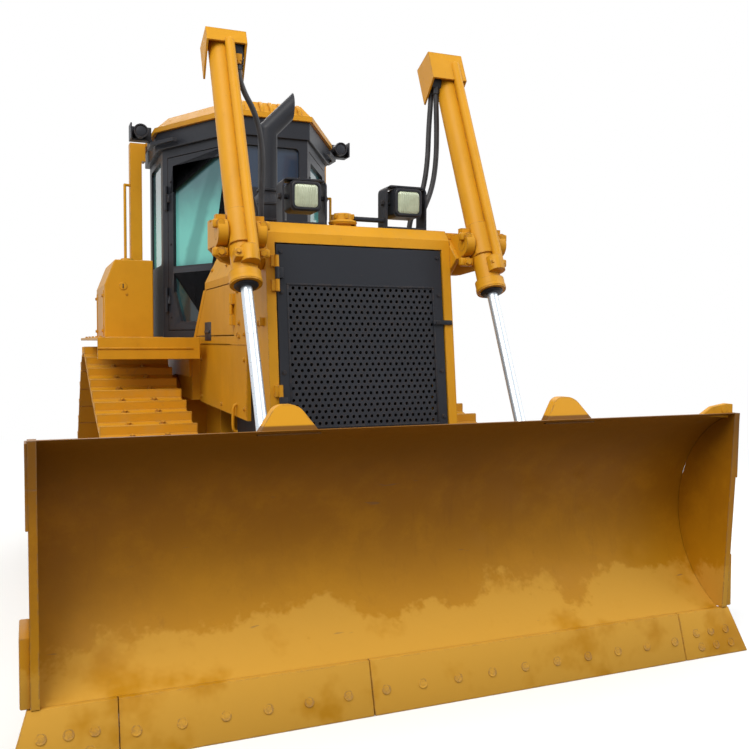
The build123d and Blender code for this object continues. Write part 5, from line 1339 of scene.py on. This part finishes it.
# ---------------------------------------------------------------- stage
class BULLDOZER_OT_stage(bpy.types.Operator):
    """Sets the pale floor, soft lights and the photograph's camera"""
    bl_idname = "bulldozer.stage"
    bl_label = "Stage"

    def execute(self, context):
        scene = context.scene
        scene.view_settings.view_transform = "Standard"
        ground = new_finish("pale_floor")
        shows = ground.seen_plainly()
        tint = ground.mix(shows, (0.20, 0.17, 0.14), (0.93, 0.93, 0.92))
        lit = ground.add("ShaderNodeBsdfDiffuse", None, {"Color": tint})
        plain = ground.add("ShaderNodeEmission", None, {"Color": (1, 1, 1), "Strength": 1.0})
        distance = ground.add("ShaderNodeVectorMath", {"operation": "LENGTH"}, {0: ground.position})
        far = ground.step(ground.out(distance, "Value"), 4.5, 9.0) * shows
        faded = ground.add("ShaderNodeMixShader", None, {0: far, 1: ground.out(lit), 2: ground.out(plain)})
        ground.add("ShaderNodeOutputMaterial", None, {"Surface": ground.out(faded)})
        bm = bmesh.new()
        bmesh.ops.create_grid(bm, x_segments=1, y_segments=1, size=60)
        mesh = bpy.data.meshes.new("floor")
        bm.to_mesh(mesh)
        bm.free()
        mesh.materials.append(ground.owner)
        floor = bpy.data.objects.new("floor", mesh)
        scene.collection.objects.link(floor)

        world = bpy.data.worlds.new("studio")
        scene.world = world
        room = Finish(world)
        shows = room.seen_plainly()
        sky = room.add("ShaderNodeBackground", None, {"Color": (0.90, 0.95, 1.0), "Strength": 0.62})
        white = room.add("ShaderNodeBackground", None, {"Color": (1, 1, 1), "Strength": 1.0})
        mixed = room.add("ShaderNodeMixShader", None, {0: shows, 1: room.out(sky), 2: room.out(white)})
        room.add("ShaderNodeOutputWorld", None, {"Surface": room.out(mixed)})

        for name, place, aim, width, power, colour in (
            ("sky_key", (-5.0, -6.5, 9.0), (0, -1.0, 1.0), 6.0, 900, (1.0, 0.97, 0.92)),
            ("sky_fill", (7.0, -4.0, 6.5), (0, 0, 1.2), 6.0, 330, (0.93, 0.96, 1.0)),
            ("sky_back", (1.5, 8.0, 8.0), (0, 0, 1.5), 6.0, 420, (1.0, 1.0, 1.0)),
        ):
            lamp = bpy.data.lights.new(name, "AREA")
            lamp.size = width
            lamp.energy = power
            lamp.color = colour
            light = bpy.data.objects.new(name, lamp)
            scene.collection.objects.link(light)
            light.location = place
            light.rotation_euler = (Vector(aim) - Vector(place)).to_track_quat("-Z", "Y").to_euler()

        yaw, pitch, roll = (math.radians(angle) for angle in (22.13, -2.22, 0.08))
        eye, focal_pixels, photo_pixels, sensor = (-1.592, -5.855 + ORIGIN_Y, 1.521), 852.4, 749, 36.0
        ahead = Vector((math.sin(yaw) * math.cos(pitch), math.cos(yaw) * math.cos(pitch), math.sin(pitch)))
        across = Vector((math.cos(yaw), -math.sin(yaw), 0))
        upward = across.cross(ahead)
        right = across * math.cos(roll) + upward * math.sin(roll)
        upper = upward * math.cos(roll) - across * math.sin(roll)
        lens = bpy.data.cameras.new("photo_camera")
        lens.sensor_width = sensor
        lens.lens = focal_pixels / photo_pixels * sensor
        camera = bpy.data.objects.new("photo_camera", lens)
        scene.collection.objects.link(camera)
        camera.matrix_world = Matrix.Translation(eye) @ Matrix((right, upper, -ahead)).transposed().to_4x4()
        scene.camera = camera
        return {"FINISHED"}


class BULLDOZER_PT_panel(bpy.types.Panel):
    bl_idname = "BULLDOZER_PT_panel"
    bl_label = "Bulldozer"
    bl_space_type = "VIEW_3D"
    bl_region_type = "UI"
    bl_category = "Bulldozer"

    def draw(self, context):
        layout = self.layout
        for group in (context.scene.bulldozer_paint, context.scene.bulldozer_sizes):
            for name in group.bl_rna.properties.keys():
                if name not in ("rna_type", "name"):
                    layout.prop(group, name)
        for operator in OPERATORS:
            layout.operator(operator.bl_idname)


OPERATORS = (
    BULLDOZER_OT_stage,
    BULLDOZER_OT_main_frame,
    BULLDOZER_OT_undercarriage,
    BULLDOZER_OT_tracks,
    BULLDOZER_OT_blade,
    BULLDOZER_OT_cutting_edges,
    BULLDOZER_OT_push_arms,
    BULLDOZER_OT_lift_cylinders,
    BULLDOZER_OT_grille,
    BULLDOZER_OT_nose,
    BULLDOZER_OT_lamps,
    BULLDOZER_OT_cab,
    BULLDOZER_OT_seat,
    BULLDOZER_OT_tanks,
    BULLDOZER_OT_hoses,
)
CLASSES = (BulldozerPaint, BulldozerSizes, *OPERATORS, BULLDOZER_PT_panel)


def register():
    for cls in CLASSES:
        bpy.utils.register_class(cls)
    bpy.types.Scene.bulldozer_paint = PointerProperty(type=BulldozerPaint)
    bpy.types.Scene.bulldozer_sizes = PointerProperty(type=BulldozerSizes)


def unregister():
    del bpy.types.Scene.bulldozer_sizes
    del bpy.types.Scene.bulldozer_paint
    for cls in reversed(CLASSES):
        bpy.utils.unregister_class(cls)


def main():
    register()
    make_finishes()
    bpy.ops.bulldozer.stage()
    bpy.ops.bulldozer.main_frame()
    bpy.ops.bulldozer.undercarriage()
    bpy.ops.bulldozer.tracks()
    bpy.ops.bulldozer.blade()
    bpy.ops.bulldozer.cutting_edges()
    bpy.ops.bulldozer.push_arms()
    bpy.ops.bulldozer.lift_cylinders()
    bpy.ops.bulldozer.grille()
    bpy.ops.bulldozer.nose()
    bpy.ops.bulldozer.lamps()
    bpy.ops.bulldozer.cab()
    bpy.ops.bulldozer.seat()
    bpy.ops.bulldozer.tanks()
    bpy.ops.bulldozer.hoses()


if __name__ == "__main__":
    main()
